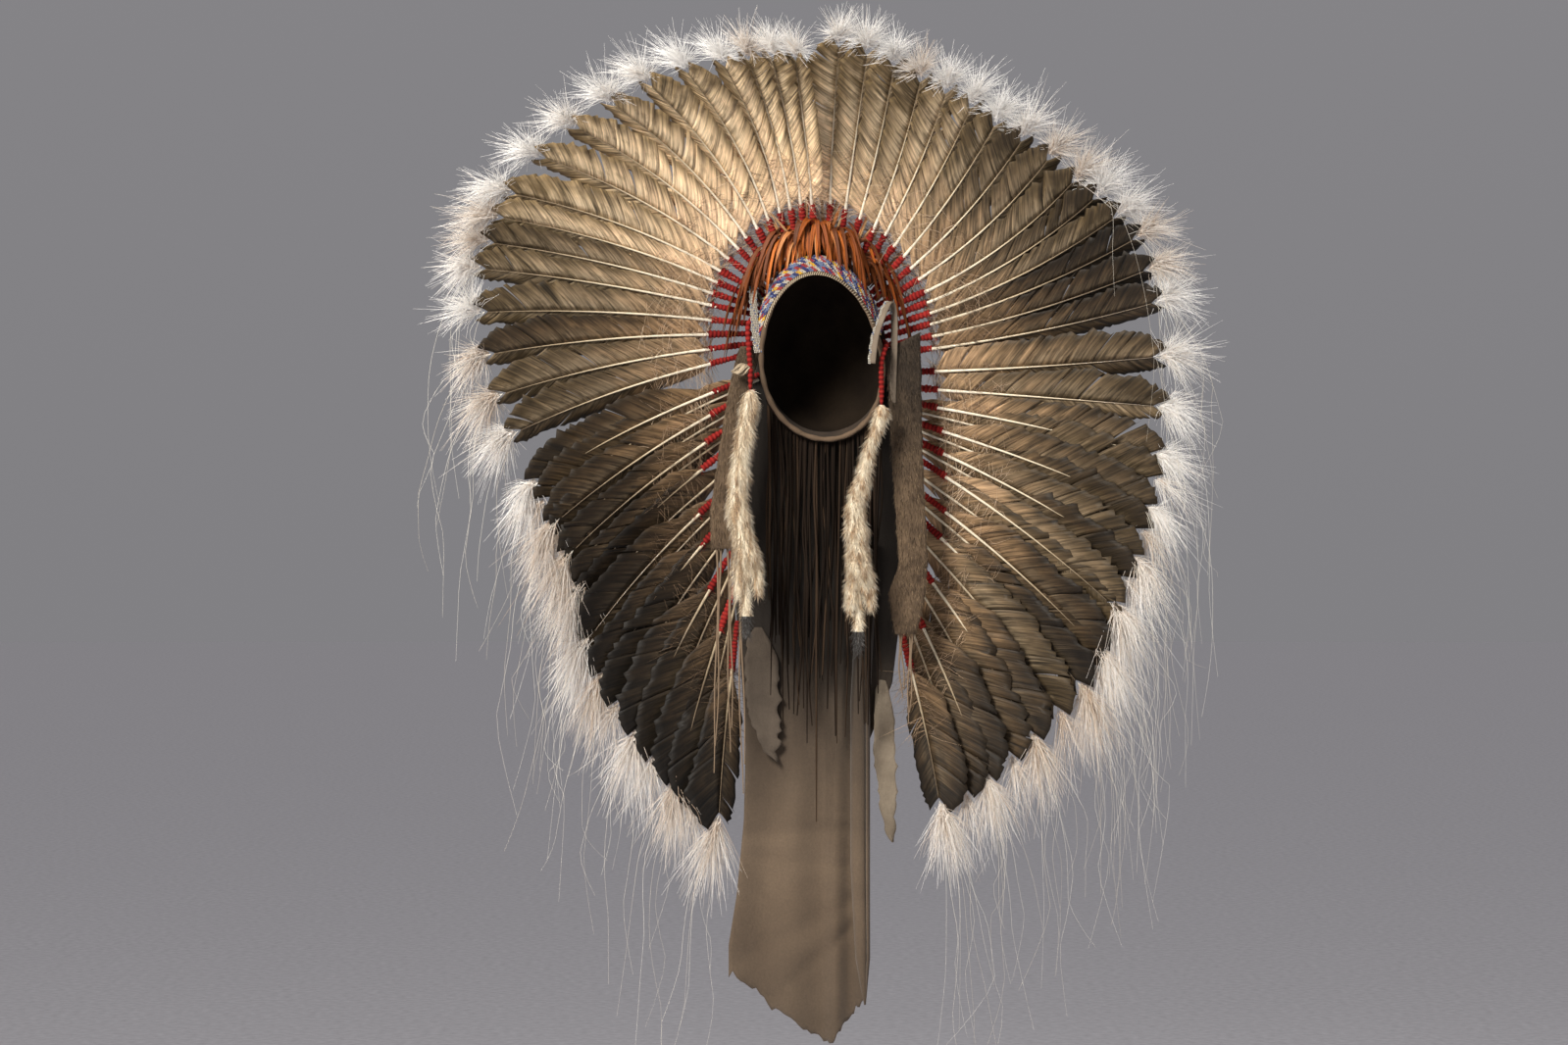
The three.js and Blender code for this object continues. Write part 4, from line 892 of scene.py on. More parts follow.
# rolled hide along the rim, thicker at the sides and the back, and a lining inside
paths = Paths()
turns = np.linspace(0, 360, shell["around"] * 2 + 1)
thick = np.interp(np.abs(turns - 180), [0, 60, 110, 135, 180], [3.0, 3.4, 3.0, 1.5, 1.4])
thick = thick * (1 + 0.12 * np.sin(np.radians(turns) * 23))
paths.add(capPoint(turns, 0.0, cap["wall"] / 2), thickness=thick, tone=0.5)
rimStops = [(0.0, (0.06, 0.038, 0.021)), (0.5, (0.12, 0.078, 0.046)), (1.0, (0.2, 0.14, 0.088))]
rimMaterial = toneMaterial("rim hide", rimStops, 0.9, depth=0.0006)
settleStrands(paths, "rim_edge", rimMaterial, 10, "hide")
turns = np.linspace(0, 360, shell["around"] + 1)[None, :]
heights = np.linspace(0.01, 0.2, 8)[:, None] * (1 + 0.06 * np.sin(np.radians(turns) * 5))
lining = [capPoint(turns, heights, -inset) for inset in shell["lining"]]
liningMaterial = mottledMaterial("brown lining", (0.05, 0.032, 0.019), (0.022, 0.014, 0.009), 0.8, 40, 600, 0.95, 0.0006)
settle(sheetPiece("rim_lining", *lining, liningMaterial), "hide")

paths = Paths()
loop = np.linspace(-0.9, 0.9, 7)
for turn in np.linspace(-shell["stitchTurn"], shell["stitchTurn"], shell["stitches"]):
    lean = turn + 1.6 * loop
    out = cap["wall"] / 2 + 2.4 * np.cos(loop * 1.6)
    rise = 0.03 * np.sin(loop * 1.7)
    paths.add(capPoint(lean, rise, out), thickness=0.55, tone=0.8)
stitchStops = [(0.0, (0.32, 0.25, 0.16)), (1.0, (0.5, 0.42, 0.3))]
stitchMaterial = toneMaterial("sinew stitch", stitchStops, 0.7)
settleStrands(paths, "rim_stitches", stitchMaterial, 5, "cream")

band = {
    "height": 30, "thickness": 3, "turn": 75, "pitch": 1.95, "radius": 1.02, "seed": 9,
    # blocks of glass: pale 0.1, light blue 0.3, red 0.5, dark blue 0.7, yellow 0.9
    "pattern": np.array([[0.7, 0.3, 0.1, 0.7], [0.5, 0.1, 0.5, 0.3], [0.1, 0.7, 0.3, 0.5], [0.9, 0.1, 0.7, 0.1],
                         [0.7, 0.5, 0.9, 0.3], [0.3, 0.7, 0.1, 0.5]]),
}


def beadMaterial(name, pale):
    # opaque seed beads: the value says which glass a bead is made of
    material, tree, shader = newMaterial(name, 0.22, Coat_Weight=0.35)
    glass = [(0.0, pale), (0.2, (0.12, 0.17, 0.3)), (0.4, (0.32, 0.02, 0.02)), (0.6, (0.015, 0.03, 0.14)),
             (0.8, (0.6, 0.34, 0.02))]
    node = ramp(tree, readValue(tree, "glass"), glass)
    node.node.color_ramp.interpolation = "CONSTANT"
    fine = noise(tree, objectPoint(tree), 900.0)
    shade = mathNode(tree, "MULTIPLY_ADD", fine, 0.5, 0.72)
    tree.links.new(dimmed(tree, node, shade), shader.inputs["Base Color"])
    return material


def beadObject(name, spots, lines, glasses, seed, radius):
    points, along, glass = (np.concatenate(rows).astype(float) for rows in (spots, lines, glasses))
    mesh = bpy.data.meshes.new(name)
    mesh.from_pydata((points * mm).tolist(), [], [])
    mesh.attributes.new("along", "FLOAT_VECTOR", "POINT").data.foreach_set("vector", along.ravel())
    mesh.attributes.new("glass", "FLOAT", "POINT").data.foreach_set("value", glass)
    source = bpy.data.objects.new(name + "Points", mesh)
    bpy.context.collection.objects.link(source)
    return grow(source, beads, name, beadGlass, Segments=7, Radius=radius * mm, Spread=0.14, Seed=seed)


beadGlass = beadMaterial("seed beads", (0.44, 0.41, 0.35))
rng = np.random.default_rng(band["seed"])
rows = int(band["height"] / band["pitch"])
arc = math.radians(2 * band["turn"]) * (cap["length"] + cap["width"]) / 4
columns = int(arc / band["pitch"])
turns = np.linspace(-band["turn"], band["turn"], columns)
spots, lines, glass = [], [], []
for row in range(rows):
    rise = (row + 0.5) * band["pitch"] / cap["depth"]
    shift = rng.normal(0, 0.25, columns)
    spot = capPoint(turns + shift, rise, capOutside + band["thickness"] - 0.6)
    spots.append(spot)
    lines.append(unit(np.gradient(spot, axis=0)))
    column = np.arange(columns)
    block = (column + row) // 3
    value = band["pattern"][(block % 6), (row // 4 + block // 6) % 4]
    value = np.where(rng.random(columns) < 0.05, rng.choice([0.1, 0.3, 0.5, 0.7, 0.9], columns), value)
    glass.append(value)
browBeads = beadObject("brow_beads", spots, lines, glass, 3, band["radius"])
settle(browBeads, "beads")
# hide backing under the beads
turns = np.linspace(-band["turn"], band["turn"], 64)
heights = np.linspace(0, band["height"], 6) / cap["depth"]
backing = [capPoint(turns[None, :], heights[:, None], out) for out in (capOutside + band["thickness"] - 1.0, capOutside)]
settle(sheetPiece("brow_backing", *backing, rimMaterial), "hide", "brow_band")
print("stage: cap and brow band", len(browBeads.data.polygons))

# hackles that arch up from the cap and fall over the beads
hackles = {
    "length": 97, "width": 6.9, "rise": 40, "pad": 12, "count": 212, "rows": 10, "seed": 12, "turn": 64,
    "upright": 0.09, "shape": ([0, 0.12, 0.4, 0.75, 0.92, 1], [0.3, 0.75, 1, 0.75, 0.4, 0.04]),
}
rng = np.random.default_rng(hackles["seed"])
pile = Pile()
up = -down
for number in range(hackles["count"]):
    turn = rng.normal(-4, 30)
    turn = np.clip(turn, -hackles["turn"], hackles["turn"])
    upright = rng.random() < hackles["upright"]
    rise = (hackles["rise"] + rng.uniform(0, hackles["pad"])) / cap["depth"]
    root = capPoint(turn, rise, capOutside + 2)
    outward = unit((root - capPoint(turn, rise, 0)) * [1, 1, 0.25])
    sideways = unit(capPoint(turn + 5, rise, 0) - capPoint(turn - 5, rise, 0))
    length = hackles["length"] * rng.uniform(0.55, 1.1)
    lean = rng.normal(0, 0.15) + 0.35 * np.sin(math.radians(turn))
    share = np.linspace(0, 1, hackles["rows"])[:, None]
    fall = rng.uniform(1.34, 1.74)
    lift = 0.7 * share - 0.1 * share ** 2 if upright else 1.05 * share - fall * share ** 2
    spine = root + length * (outward * 0.46 * share * (1.2 - 0.4 * share) + sideways * lean * share + up * lift)
    tangent = unit(np.gradient(spine, axis=0))
    across = unit(sideways - tangent * (tangent @ sideways)[:, None])
    face = np.cross(across, tangent)
    width = hackles["width"] * rng.uniform(0.6, 1.15) * np.interp(share[:, 0], *hackles["shape"])
    width = width * (0.6 if upright else 1)
    columnsAcross = np.linspace(-0.5, 0.5, 5)
    body = spine[:, None, :] + width[:, None, None] * columnsAcross[None, :, None] * across[:, None, :]
    body = body + 0.16 * width[:, None, None] * (1 - (columnsAcross * 2) ** 2)[None, :, None] * face[:, None, :]
    tone = rng.uniform(0.84, 1.0) if upright else np.clip(rng.normal(0.62, 0.17) - 0.006 * abs(turn), 0.05, 1)
    pile.addSheet(body + 0.15 * face[:, None, :], body - 0.15 * face[:, None, :], along=share + 0 * columnsAcross,
                  across=np.abs(columnsAcross * 2)[None, :] + 0 * share, barb=share * 60 + number * 9.0, tone=tone)


def hackleMaterial():
    material, tree, shader = newMaterial("hackle", 0.5, Specular_IOR_Level=0.2)
    along, across, tone = (readValue(tree, key) for key in ("along", "across", "tone"))
    hue = ramp(tree, tone, [(0.0, (0.04, 0.018, 0.01)), (0.3, (0.13, 0.04, 0.014)), (0.5, (0.2, 0.047, 0.007)),
                            (0.8, (0.46, 0.12, 0.014)), (1.0, (0.42, 0.27, 0.13))])
    middle = mathNode(tree, "MULTIPLY", ramp(tree, across, [(0.1, 1.0), (0.4, 0.0)]),
                      ramp(tree, along, [(0.3, 0.7), (0.9, 0.0)]))
    lengthwise, crosswise = (mathNode(tree, "MULTIPLY", value, scale) for value, scale in ((along, 5), (across, 9)))
    streak = noise(tree, combine(tree, lengthwise, crosswise, tone), 3.0)
    light = mathNode(tree, "MULTIPLY_ADD", streak, 1.5, 0.3)
    coloured = mixColours(tree, middle, hue, (0.09, 0.03, 0.014))
    tree.links.new(dimmed(tree, coloured, light), shader.inputs["Base Color"])
    bump(tree, shader, streak, 0.4, 0.0006)
    return material


settle(pile.build("brow_hackles", hackleMaterial()), "hackle", "brow_plume")
print("stage: hackles")

# trail: panel, rolled edge and pale strips

hide = {"rows": 110, "columns": 48, "wrinkle": 1.6, "seed": 3}
suedeMaterial = mottledMaterial("grey tan suede", (0.122, 0.086, 0.055), (0.066, 0.044, 0.027), 0.75, 9, 380, 0.95,
                                0.0009, Sheen_Weight=0.15)


def darkenByHeight(material, top, bottom, least):
    # darkens a hide from one height to another: painted shade at the tops of the trail and the flaps, and a darkening
    # towards the trail's bottom
    tree = material.node_tree
    shader = tree.nodes["Principled BSDF"]
    level = axesOf(tree, objectPoint(tree))[2]
    wave = mathNode(tree, "MULTIPLY_ADD", noise(tree, objectPoint(tree), 7.0), 0.16, -0.08)
    height = mathNode(tree, "ADD", level, wave)
    share = mathNode(tree, "DIVIDE", mathNode(tree, "SUBTRACT", height, bottom), top - bottom)
    light = ramp(tree, share, [(0.0, 1.0), (1.0, least)])
    plain = shader.inputs["Base Color"].links[0].from_socket
    tree.links.new(mixColours(tree, 1.0, plain, light, "MULTIPLY"), shader.inputs["Base Color"])


# painted shade: the trail's top, under the thongs, is darkened
darkenByHeight(suedeMaterial, -0.36, -0.6, 0.14)
# darker towards the bottom of the trail
darkenByHeight(suedeMaterial, -0.9, -0.7, 0.68)
across = np.linspace(-1, 1, hide["columns"])
hem = np.interp(across, trail["hemAcross"], trail["hemDrop"])
rng = np.random.default_rng(hide["seed"])
rag = np.interp(across * 20, np.arange(-20, 21), rng.normal(0, 0.004, 41))
share = np.linspace(0, 1, hide["rows"])[:, None]
drops = 0.07 + share * (hem + rag - 0.07)[None, :]


def wrinkles(x, z):
    # each crease: height at the middle, slope, depth and spread
    creases = [(-588, 0.06, 3.4, 7), (-630, -0.1, 3.2, 8), (-560, -0.16, 1.8, 5), (-330, 0.35, 1.6, 14),
               (-700, 0.5, 3.4, 12), (-745, 0.9, 3.6, 10), (-665, -0.3, 1.8, 8)]
    height = hide["wrinkle"] * np.sin(x / 31 + z / 90) * np.sin(z / 63 + 1.3)
    for level, slope, depth, spread in creases:
        height = height + depth * np.exp(-((z - level - slope * x) / spread) ** 2)
    return height


def trailSkin(away):
    grid = trailPoint(across[None, :], drops, away)
    grid[..., 1] += wrinkles(grid[..., 0], grid[..., 2]) * share ** 0.6
    steps = np.linspace(0, 1, 9)[:-1, None, None]
    top = capPoint(180 - across * trail["turn"], ringShare, capOutside + away)
    return np.concatenate([top[None] * (1 - steps) + grid[:1] * steps, grid])


panel = sheetPiece("trail_hide", trailSkin(0), trailSkin(trail["wall"]), suedeMaterial)
settle(panel, "suede", "trail_panel")


trailSkin(0)

roll = {"length": 580, "radius": 14, "wall": 2.0, "top": 0.19, "middle": 0.43}
rollRows = {
    "down": [0, 0.06, 0.35, 0.7, 0.9, 1], "width": [0.6, 0.95, 1, 1, 0.75, 0.1], "drift": [0.12, 0.08, 0, 0, 0.03, 0.06],
}


def trailFace(aside, drop, forward):
    left, right = (np.interp(drop, trail["drop"], trail[key]) for key in ("left", "right"))
    half = trail["half"] * np.where(aside < 0, left, right)
    return trailPoint(aside / half, drop, -np.asarray(forward))


steps = np.linspace(0, 1, 90)
width = roll["radius"] * np.interp(steps, rollRows["down"], rollRows["width"])
aside = trail["half"] * (roll["middle"] + np.interp(steps, rollRows["down"], rollRows["drift"]))
middle = trailFace(aside, roll["top"] + steps * roll["length"] / trail["length"], roll["radius"])
angles = np.linspace(math.radians(-50), math.radians(400), 34)
spiral = np.linspace(1.0, 0.62, 34)


def rollSkin(inset):
    radius = (width[:, None] * spiral[None, :] - inset)
    around = np.stack([np.cos(angles)[None, :] * radius, np.sin(angles)[None, :] * radius, 0 * radius], -1)
    ring = middle[:, None, :] + around
    ring[..., 1] += 0.3 * wrinkles(ring[..., 0], ring[..., 2])
    return ring


rollWall = np.minimum(roll["wall"], width * 0.4)[:, None]
settle(sheetPiece("trail_rolled_edge", rollSkin(0), rollSkin(rollWall), suedeMaterial), "suede", "trail_roll")

creamMaterial = mottledMaterial("pale rawhide", (0.5, 0.42, 0.3), (0.24, 0.175, 0.11), 0.8, 40, 500, 0.85, 0.0008)
stripMaterials = {
    "left": mottledMaterial("torn tan hide", (0.1, 0.078, 0.057), (0.045, 0.032, 0.022), 0.8, 24, 450, 0.9, 0.0008),
    "right": mottledMaterial("torn pale hide", (0.19, 0.155, 0.112), (0.085, 0.063, 0.042), 0.8, 24, 450, 0.9, 0.0008),
}
strips = {
    "left": {"aside": -0.66, "top": 0.33, "length": 168, "width": 44, "seed": 2},
    "right": {"aside": 0.71, "top": 0.41, "length": 206, "width": 28, "seed": 6},
}
stripRows = {
    "down": [0, 0.08, 0.25, 0.6, 0.85, 1], "left": [-0.2, -0.4, -0.5, -0.42, -0.1, 0.3],
    "right": [0.0, 0.2, 0.46, 0.5, 0.5, 0.42], "ahead": [-1, 0, 3, 4, 5, 5],
}
for name, strip in strips.items():
    steps = np.linspace(0, 1, 40)[:, None]
    share = np.linspace(0, 1, 9)[None, :]
    left, right, forward = (np.interp(steps, stripRows["down"], stripRows[key]) for key in ("left", "right", "ahead"))
    rng = np.random.default_rng(strip["seed"])
    torn = [np.interp(steps * 26, np.arange(27), rng.normal(0, 0.06, 27)) * np.clip(steps * 2, 0, 1)
            for _ in range(2)]
    left, right = left + torn[0], right + torn[1]
    place = trail["half"] * strip["aside"] + (left + (right - left) * share) * strip["width"]
    curl = 3.0 * np.sin(steps * 7 + share * 3) * steps
    drop = strip["top"] + steps * strip["length"] / trail["length"]
    faces = [trailFace(place, drop + 0 * place, 0.3 + depth + forward * 2 + curl) for depth in (2, 0.4)]
    piece = sheetPiece("strip_" + name, *faces, stripMaterials[name])
    settle(piece, "cream", "trail_strip_" + name)
print("stage: trail")

# dark thongs at the nape

fringe = {"count": 66, "longest": 38, "turn": 60, "length": 360, "heading": 10, "width": 3.4, "seed": 77}
rng = np.random.default_rng(fringe["seed"])
paths = Paths()
for number in range(fringe["count"]):
    turn = 180 + np.interp(number, [0, fringe["count"] - 1], [-fringe["turn"] + 5, fringe["turn"] - 5])
    turn = turn + rng.normal(0, 1)
    root = capPoint(turn, fringe["heading"] / cap["depth"] * rng.uniform(0.6, 1.2), capOutside + rng.uniform(1, 3.5))
    length = fringe["length"] * rng.uniform(0.6, 1.06)
    if number == fringe["longest"]:
        length = fringe["length"] * 1.32
    steps = np.linspace(0, 1, 16)[:, None]
    sway = np.interp(steps[:, 0] * 4, range(5), np.concatenate([[0], rng.normal(0, 2.4, 4)]))
    line = root + down * length * steps - ahead * 10 * steps
    line[:, 0] += sway + rng.normal(0, 3) * steps[:, 0]
    line[:, 1] += np.interp(steps[:, 0] * 3, range(4), np.concatenate([[0], rng.normal(0, 1.5, 3)]))
    taper = np.interp(steps[:, 0], [0, 0.8, 1], [1, 0.8, 0.45])
    paths.add(line, thickness=fringe["width"] / 2 * rng.uniform(0.75, 1.15) * taper, tone=rng.random())
turns = np.linspace(180 - fringe["turn"] + 3, 180 + fringe["turn"] - 3, 70)
for level in (0.35, 0.8, 1.25):
    paths.add(capPoint(turns, fringe["heading"] * level / cap["depth"], capOutside + 2), thickness=2.3, tone=0.4)
thongStops = [(0.0, (0.007, 0.0045, 0.003)), (0.6, (0.017, 0.011, 0.0075)), (1.0, (0.045, 0.028, 0.017))]
thongMaterial = toneMaterial("dark thong", thongStops, 0.85, depth=0.0004)
thongMaterial.node_tree.nodes["Principled BSDF"].inputs["Specular IOR Level"].default_value = 0.08
settleStrands(paths, "nape_thongs", thongMaterial, 5, "thong", "thong_fringe")
print("stage: thongs")

# side pieces: flaps, loops, ties and ermine drops

def flankPoint(side, size, row):
    flank = capPoint(side * 88, 0.1, capOutside)
    return flank + np.array([side * row[0] * size, -row[1] * size, -row[2] * size])


def smoothPath(points, count):
    # even points on a smooth curve through a few given ones
    points = np.asarray(points, float)
    padded = np.concatenate([2 * points[:1] - points[1:2], points, 2 * points[-1:] - points[-2:-1]])
    fine = []
    for a, b, c, d in zip(padded[:-3], padded[1:-2], padded[2:-1], padded[3:]):
        t = np.linspace(0, 1, 20, endpoint=False)[:, None]
        bend, twist = 2 * a - 5 * b + 4 * c - d, 3 * b - a - 3 * c + d
        fine.append(0.5 * (2 * b + (c - a) * t + bend * t ** 2 + twist * t ** 3))
    fine = np.concatenate(fine + [points[-1:]])
    run = np.concatenate([[0], np.cumsum(np.linalg.norm(np.diff(fine, axis=0), axis=1))])
    place = np.linspace(0, run[-1], count)
    return np.stack([np.interp(place, run, fine[:, axis]) for axis in range(3)], -1)


def furTree():
    # short hairs over a surface, combed one way
    tree, given, result = newTree("hairsOnSurface", [
        ("Density", "Float", 150000.0), ("Length", "Float", 0.008), ("Radius", "Float", 0.0003), ("Lift", "Float", 0.45),
        ("Comb", "Vector", (0.0, 0.0, -1.0)), ("Seed", "Int", 1), ("Material", "Material", None)])
    nodes, links = tree.nodes, tree.links
    scatter = nodes.new("GeometryNodeDistributePointsOnFaces")
    links.new(given.outputs["Geometry"], scatter.inputs["Mesh"])
    links.new(given.outputs["Density"], scatter.inputs["Density"])
    links.new(given.outputs["Seed"], scatter.inputs["Seed"])
    hair = nodes.new("GeometryNodeMeshCone")
    hair.inputs["Vertices"].default_value = 3
    hair.inputs["Radius Top"].default_value = 0.00004
    links.new(given.outputs["Radius"], hair.inputs["Radius Bottom"])
    links.new(given.outputs["Length"], hair.inputs["Depth"])
    raised = nodes.new("ShaderNodeVectorMath")
    raised.operation = "SCALE"
    links.new(scatter.outputs["Normal"], raised.inputs[0])
    links.new(given.outputs["Lift"], raised.inputs["Scale"])
    chance = nodes.new("FunctionNodeRandomValue")
    chance.data_type = "FLOAT_VECTOR"
    chance.inputs[0].default_value = (-0.3, -0.3, -0.3)
    chance.inputs[1].default_value = (0.3, 0.3, 0.3)
    links.new(given.outputs["Seed"], chance.inputs["Seed"])
    combed = nodes.new("ShaderNodeVectorMath")
    combed.operation = "ADD"
    links.new(given.outputs["Comb"], combed.inputs[0])
    links.new(raised.outputs[0], combed.inputs[1])
    strayed = nodes.new("ShaderNodeVectorMath")
    strayed.operation = "ADD"
    links.new(combed.outputs[0], strayed.inputs[0])
    links.new(chance.outputs[0], strayed.inputs[1])
    turn = nodes.new("FunctionNodeAlignRotationToVector")
    turn.axis = "Z"
    links.new(strayed.outputs[0], turn.inputs["Vector"])
    size = nodes.new("FunctionNodeRandomValue")
    size.inputs[2].default_value = 0.55
    size.inputs[3].default_value = 1.15
    links.new(given.outputs["Seed"], size.inputs["Seed"])
    place = nodes.new("GeometryNodeInstanceOnPoints")
    links.new(scatter.outputs["Points"], place.inputs["Points"])
    links.new(hair.outputs["Mesh"], place.inputs["Instance"])
    links.new(turn.outputs["Rotation"], place.inputs["Rotation"])
    links.new(size.outputs[1], place.inputs["Scale"])
    tint = nodes.new("FunctionNodeRandomValue")
    store = nodes.new("GeometryNodeStoreNamedAttribute")
    store.domain = "INSTANCE"
    store.inputs["Name"].default_value = "tone"
    links.new(place.outputs["Instances"], store.inputs["Geometry"])
    links.new(tint.outputs[1], store.inputs["Value"])
    finishTree(tree, given, result, store.outputs["Geometry"])
    return tree


fur = furTree()


def furOn(piece, name, material, **inputs):
    # hairs over a copy of the piece, which stays as it is
    source = bpy.data.objects.new(name + "Base", piece.data.copy())
    bpy.context.collection.objects.link(source)
    return grow(source, fur, name, material, **inputs)


flap = {
    "length": 350, "width": 44, "wall": 3, "rows": 60, "columns": 13, "thong": 300,
    # painted shade over each flap's top: the heights in metres between which a flap darkens, and the least share of
    # light
    "dark": {"left": (0.02, -0.05, 0.6), "right": (-0.02, -0.16, 0.3)},
}
flapRows = {
    "left": {"drop": [-0.01, 0.1, 0.32, 0.58, 0.7], "inner": [-0.1, 0.12, 0.35, 0.62, 0.36],
             "outer": [0.5, 0.75, 1.05, 1.35, 1.3], "back": [-0.1, 0.05, 0.3, 0.5, 0.55], "raise": [0, 0, 0, 0, 0]},
    "right": {"drop": [0.01, 0.1, 0.35, 0.75, 0.86, 1], "inner": [-0.1, 0.1, 0.2, 0.42, 0.12, 0.3],
              "outer": [0.98, 1.02, 1.06, 1.22, 1.16, 0.9], "back": [-0.1, 0.05, 0.3, 0.5, 0.55, 0.55],
              "raise": [0.07, 0.03, 0, 0, 0, 0]},
}
flapThongs = {
    "left": [(0.5, 1.0, 0.5), (0.8, 0.84, 0.2), (1.1, 0.92, -0.6)], "right": [(0.45, 0.3, 0.4), (0.75, 0.4, -0.3)],
}
hairTones = [(0.0, (0.045, 0.028, 0.014)), (0.5, (0.13, 0.086, 0.048)), (1.0, (0.26, 0.18, 0.105))]
for name, side in sides.items():
    table = flapRows[name]
    flapMaterial = mottledMaterial("tan hair hide " + name, (0.125, 0.083, 0.048), (0.055, 0.034, 0.019), 0.9, 60, 700,
                                   0.95, 0.0012)
    flapHair = toneMaterial("tan hair " + name, hairTones, 0.8)
    for material in (flapMaterial, flapHair):
        # painted shade: each flap's top is darkened, the right one most
        darkenByHeight(material, *flap["dark"][name])
    drop = np.linspace(table["drop"][0], table["drop"][-1], flap["rows"])[:, None]
    across = np.linspace(0, 1, flap["columns"])[None, :]
    inner, outer, back, lift = (np.interp(drop, table["drop"], table[key])
                                for key in ("inner", "outer", "back", "raise"))
    flank = flankPoint(side, 1, (0, 0, 0))
    wave = 1.4 * np.sin(drop * 23 + across * 2) * np.clip(drop * 4, 0, 1)
    rag = 0.02 * np.sin(drop * 61 + side) * (across - 0.5)

    def flapSkin(away):
        out = inner + (outer - inner) * across + rag
        x = flank[0] + side * out * flap["width"]
        y = flank[1] + back * flap["width"] + away - flap["wall"] * 4 * across * (1 - across) + wave
        z = flank[2] + (across * lift - drop) * flap["length"]
        return np.stack(np.broadcast_arrays(x, y, z), -1)

    piece = sheetPiece("flap_hide_" + name, flapSkin(0.3), flapSkin(flap["wall"] - 0.6), flapMaterial)
    settle(piece, "fur", "flap_" + name)
    flapSkin(0.3)
    settle(furOn(piece, "flap_hair_" + name, flapHair, Density=130000.0, Length=0.007, Radius=0.0004, Lift=0.3,
                 Seed=4 + side), "fur")
    paths = Paths()
    last = {key: table[key][-1] for key in table}
    for out, length, drift in flapThongs[name]:
        behind, below = last["back"] * flap["width"] + 1.5, -last["drop"] * flap["length"] + 16
        root = flank + np.array([side * out * flap["width"], behind, below])
        steps = np.linspace(0, 1, 14)[:, None]
        for twin in (-1, 1):
            line = root + down * length * flap["thong"] * steps * (1 - 0.06 * twin)
            line[:, 0] += drift * 9 * steps[:, 0] ** 2 + twin * 1.6 + np.sin(steps[:, 0] * 9 + twin) * 1.2
            paths.add(line, thickness=1.5 * np.interp(steps[:, 0], [0, 1], [1, 0.5]), tone=0.9)
    settleStrands(paths, "flap_thongs_" + name, rimMaterial, 5, "fur")
print("stage: flaps")

loopRows = {
    "left": [(0, 0.2, 0.05), (0.05, 0.2, -0.45), (0.07, 0.15, -0.84), (0.07, 0.06, -0.93), (0.04, -0.02, -0.84),
             (-0.14, -0.02, -0.56)],
    "right": [(-0.2, 0.46, 0.23), (-0.15, 0.45, -0.16), (-0.05, 0.38, -0.46), (0.06, 0.26, -0.69), (0.13, 0.17, -0.58),
              (0.14, 0.14, -0.16), (0.13, 0.02, 0.3), (0.12, -0.06, 0.8)],
}
loops = {
    "length": 82, "width": {"left": 8.5, "right": 10}, "wall": 2, "pitch": 1.9, "radius": 0.98,
    "shaded": (0.2, 0.185, 0.16),
}
rightward = np.array([1.0, 0.0, 0.0])


def ribbonSkin(line, width, thickness, acrossway):
    tangent = unit(np.gradient(line, axis=0))
    across = unit(acrossway - tangent * (tangent @ acrossway)[:, None])
    face = np.cross(tangent, across)
    share = np.linspace(-0.5, 0.5, 4)
    body = line[:, None, :] + (share[None, :] * np.asarray(width).reshape(-1, 1))[..., None] * across[:, None, :]
    return body + face[:, None, :] * thickness / 2, body - face[:, None, :] * thickness / 2, across, face


loopHide = mottledMaterial("grey brown hide", (0.19, 0.15, 0.11), (0.1, 0.075, 0.052), 0.6, 60, 700, 0.9, 0.0005)
for name, side in sides.items():
    line = smoothPath([flankPoint(side, loops["length"], row) for row in loopRows[name]], 70)
    acrossway = rightward if name == "left" else unit(rightward * 0.9 + ahead * 0.5)
    wide = loops["width"][name]
    front, back, across, face = ribbonSkin(line, wide - 1.2, loops["wall"] - 0.8, acrossway)
    settle(sheetPiece("loop_hide_" + name, front, back, loopHide), "beads", "beaded_loop_" + name)
    # the right loop is beaded along the outer edge of its first leg alone
    last = 69 if name == "left" else 33
    run = np.linalg.norm(np.diff(line[:last + 1], axis=0), axis=1).sum()
    count = int(run / loops["pitch"])
    place = np.linspace(0, last, count)
    spread = [-0.46, -0.23, 0, 0.23, 0.46] if name == "left" else [-0.5, -0.34]
    spots, lines, glass = [], [], []
    for share in spread:
        for away in (-1, 1):
            zigzag = 0.05 * np.where(np.arange(70) % 4 < 2, 1, -1)[:, None]
            offset = line + (share + zigzag) * wide * across + away * loops["wall"] * 0.42 * face
            spot = np.stack([np.interp(place, np.arange(70), offset[:, axis]) for axis in range(3)], -1)
            spots.append(spot)
            lines.append(unit(np.gradient(spot, axis=0)))
            glass.append(np.where((np.arange(count) + int(share * 9)) % 11 == 4, 0.3, 0.1))
    piece = beadObject("loop_beads_" + name, spots, lines, glass, 8 + side, loops["radius"])
    # painted shade: the right loop's pale beads are a darker grey
    if name == "right":
        piece.data.materials[0] = beadMaterial("shaded seed beads", loops["shaded"])
    settle(piece, "beads")

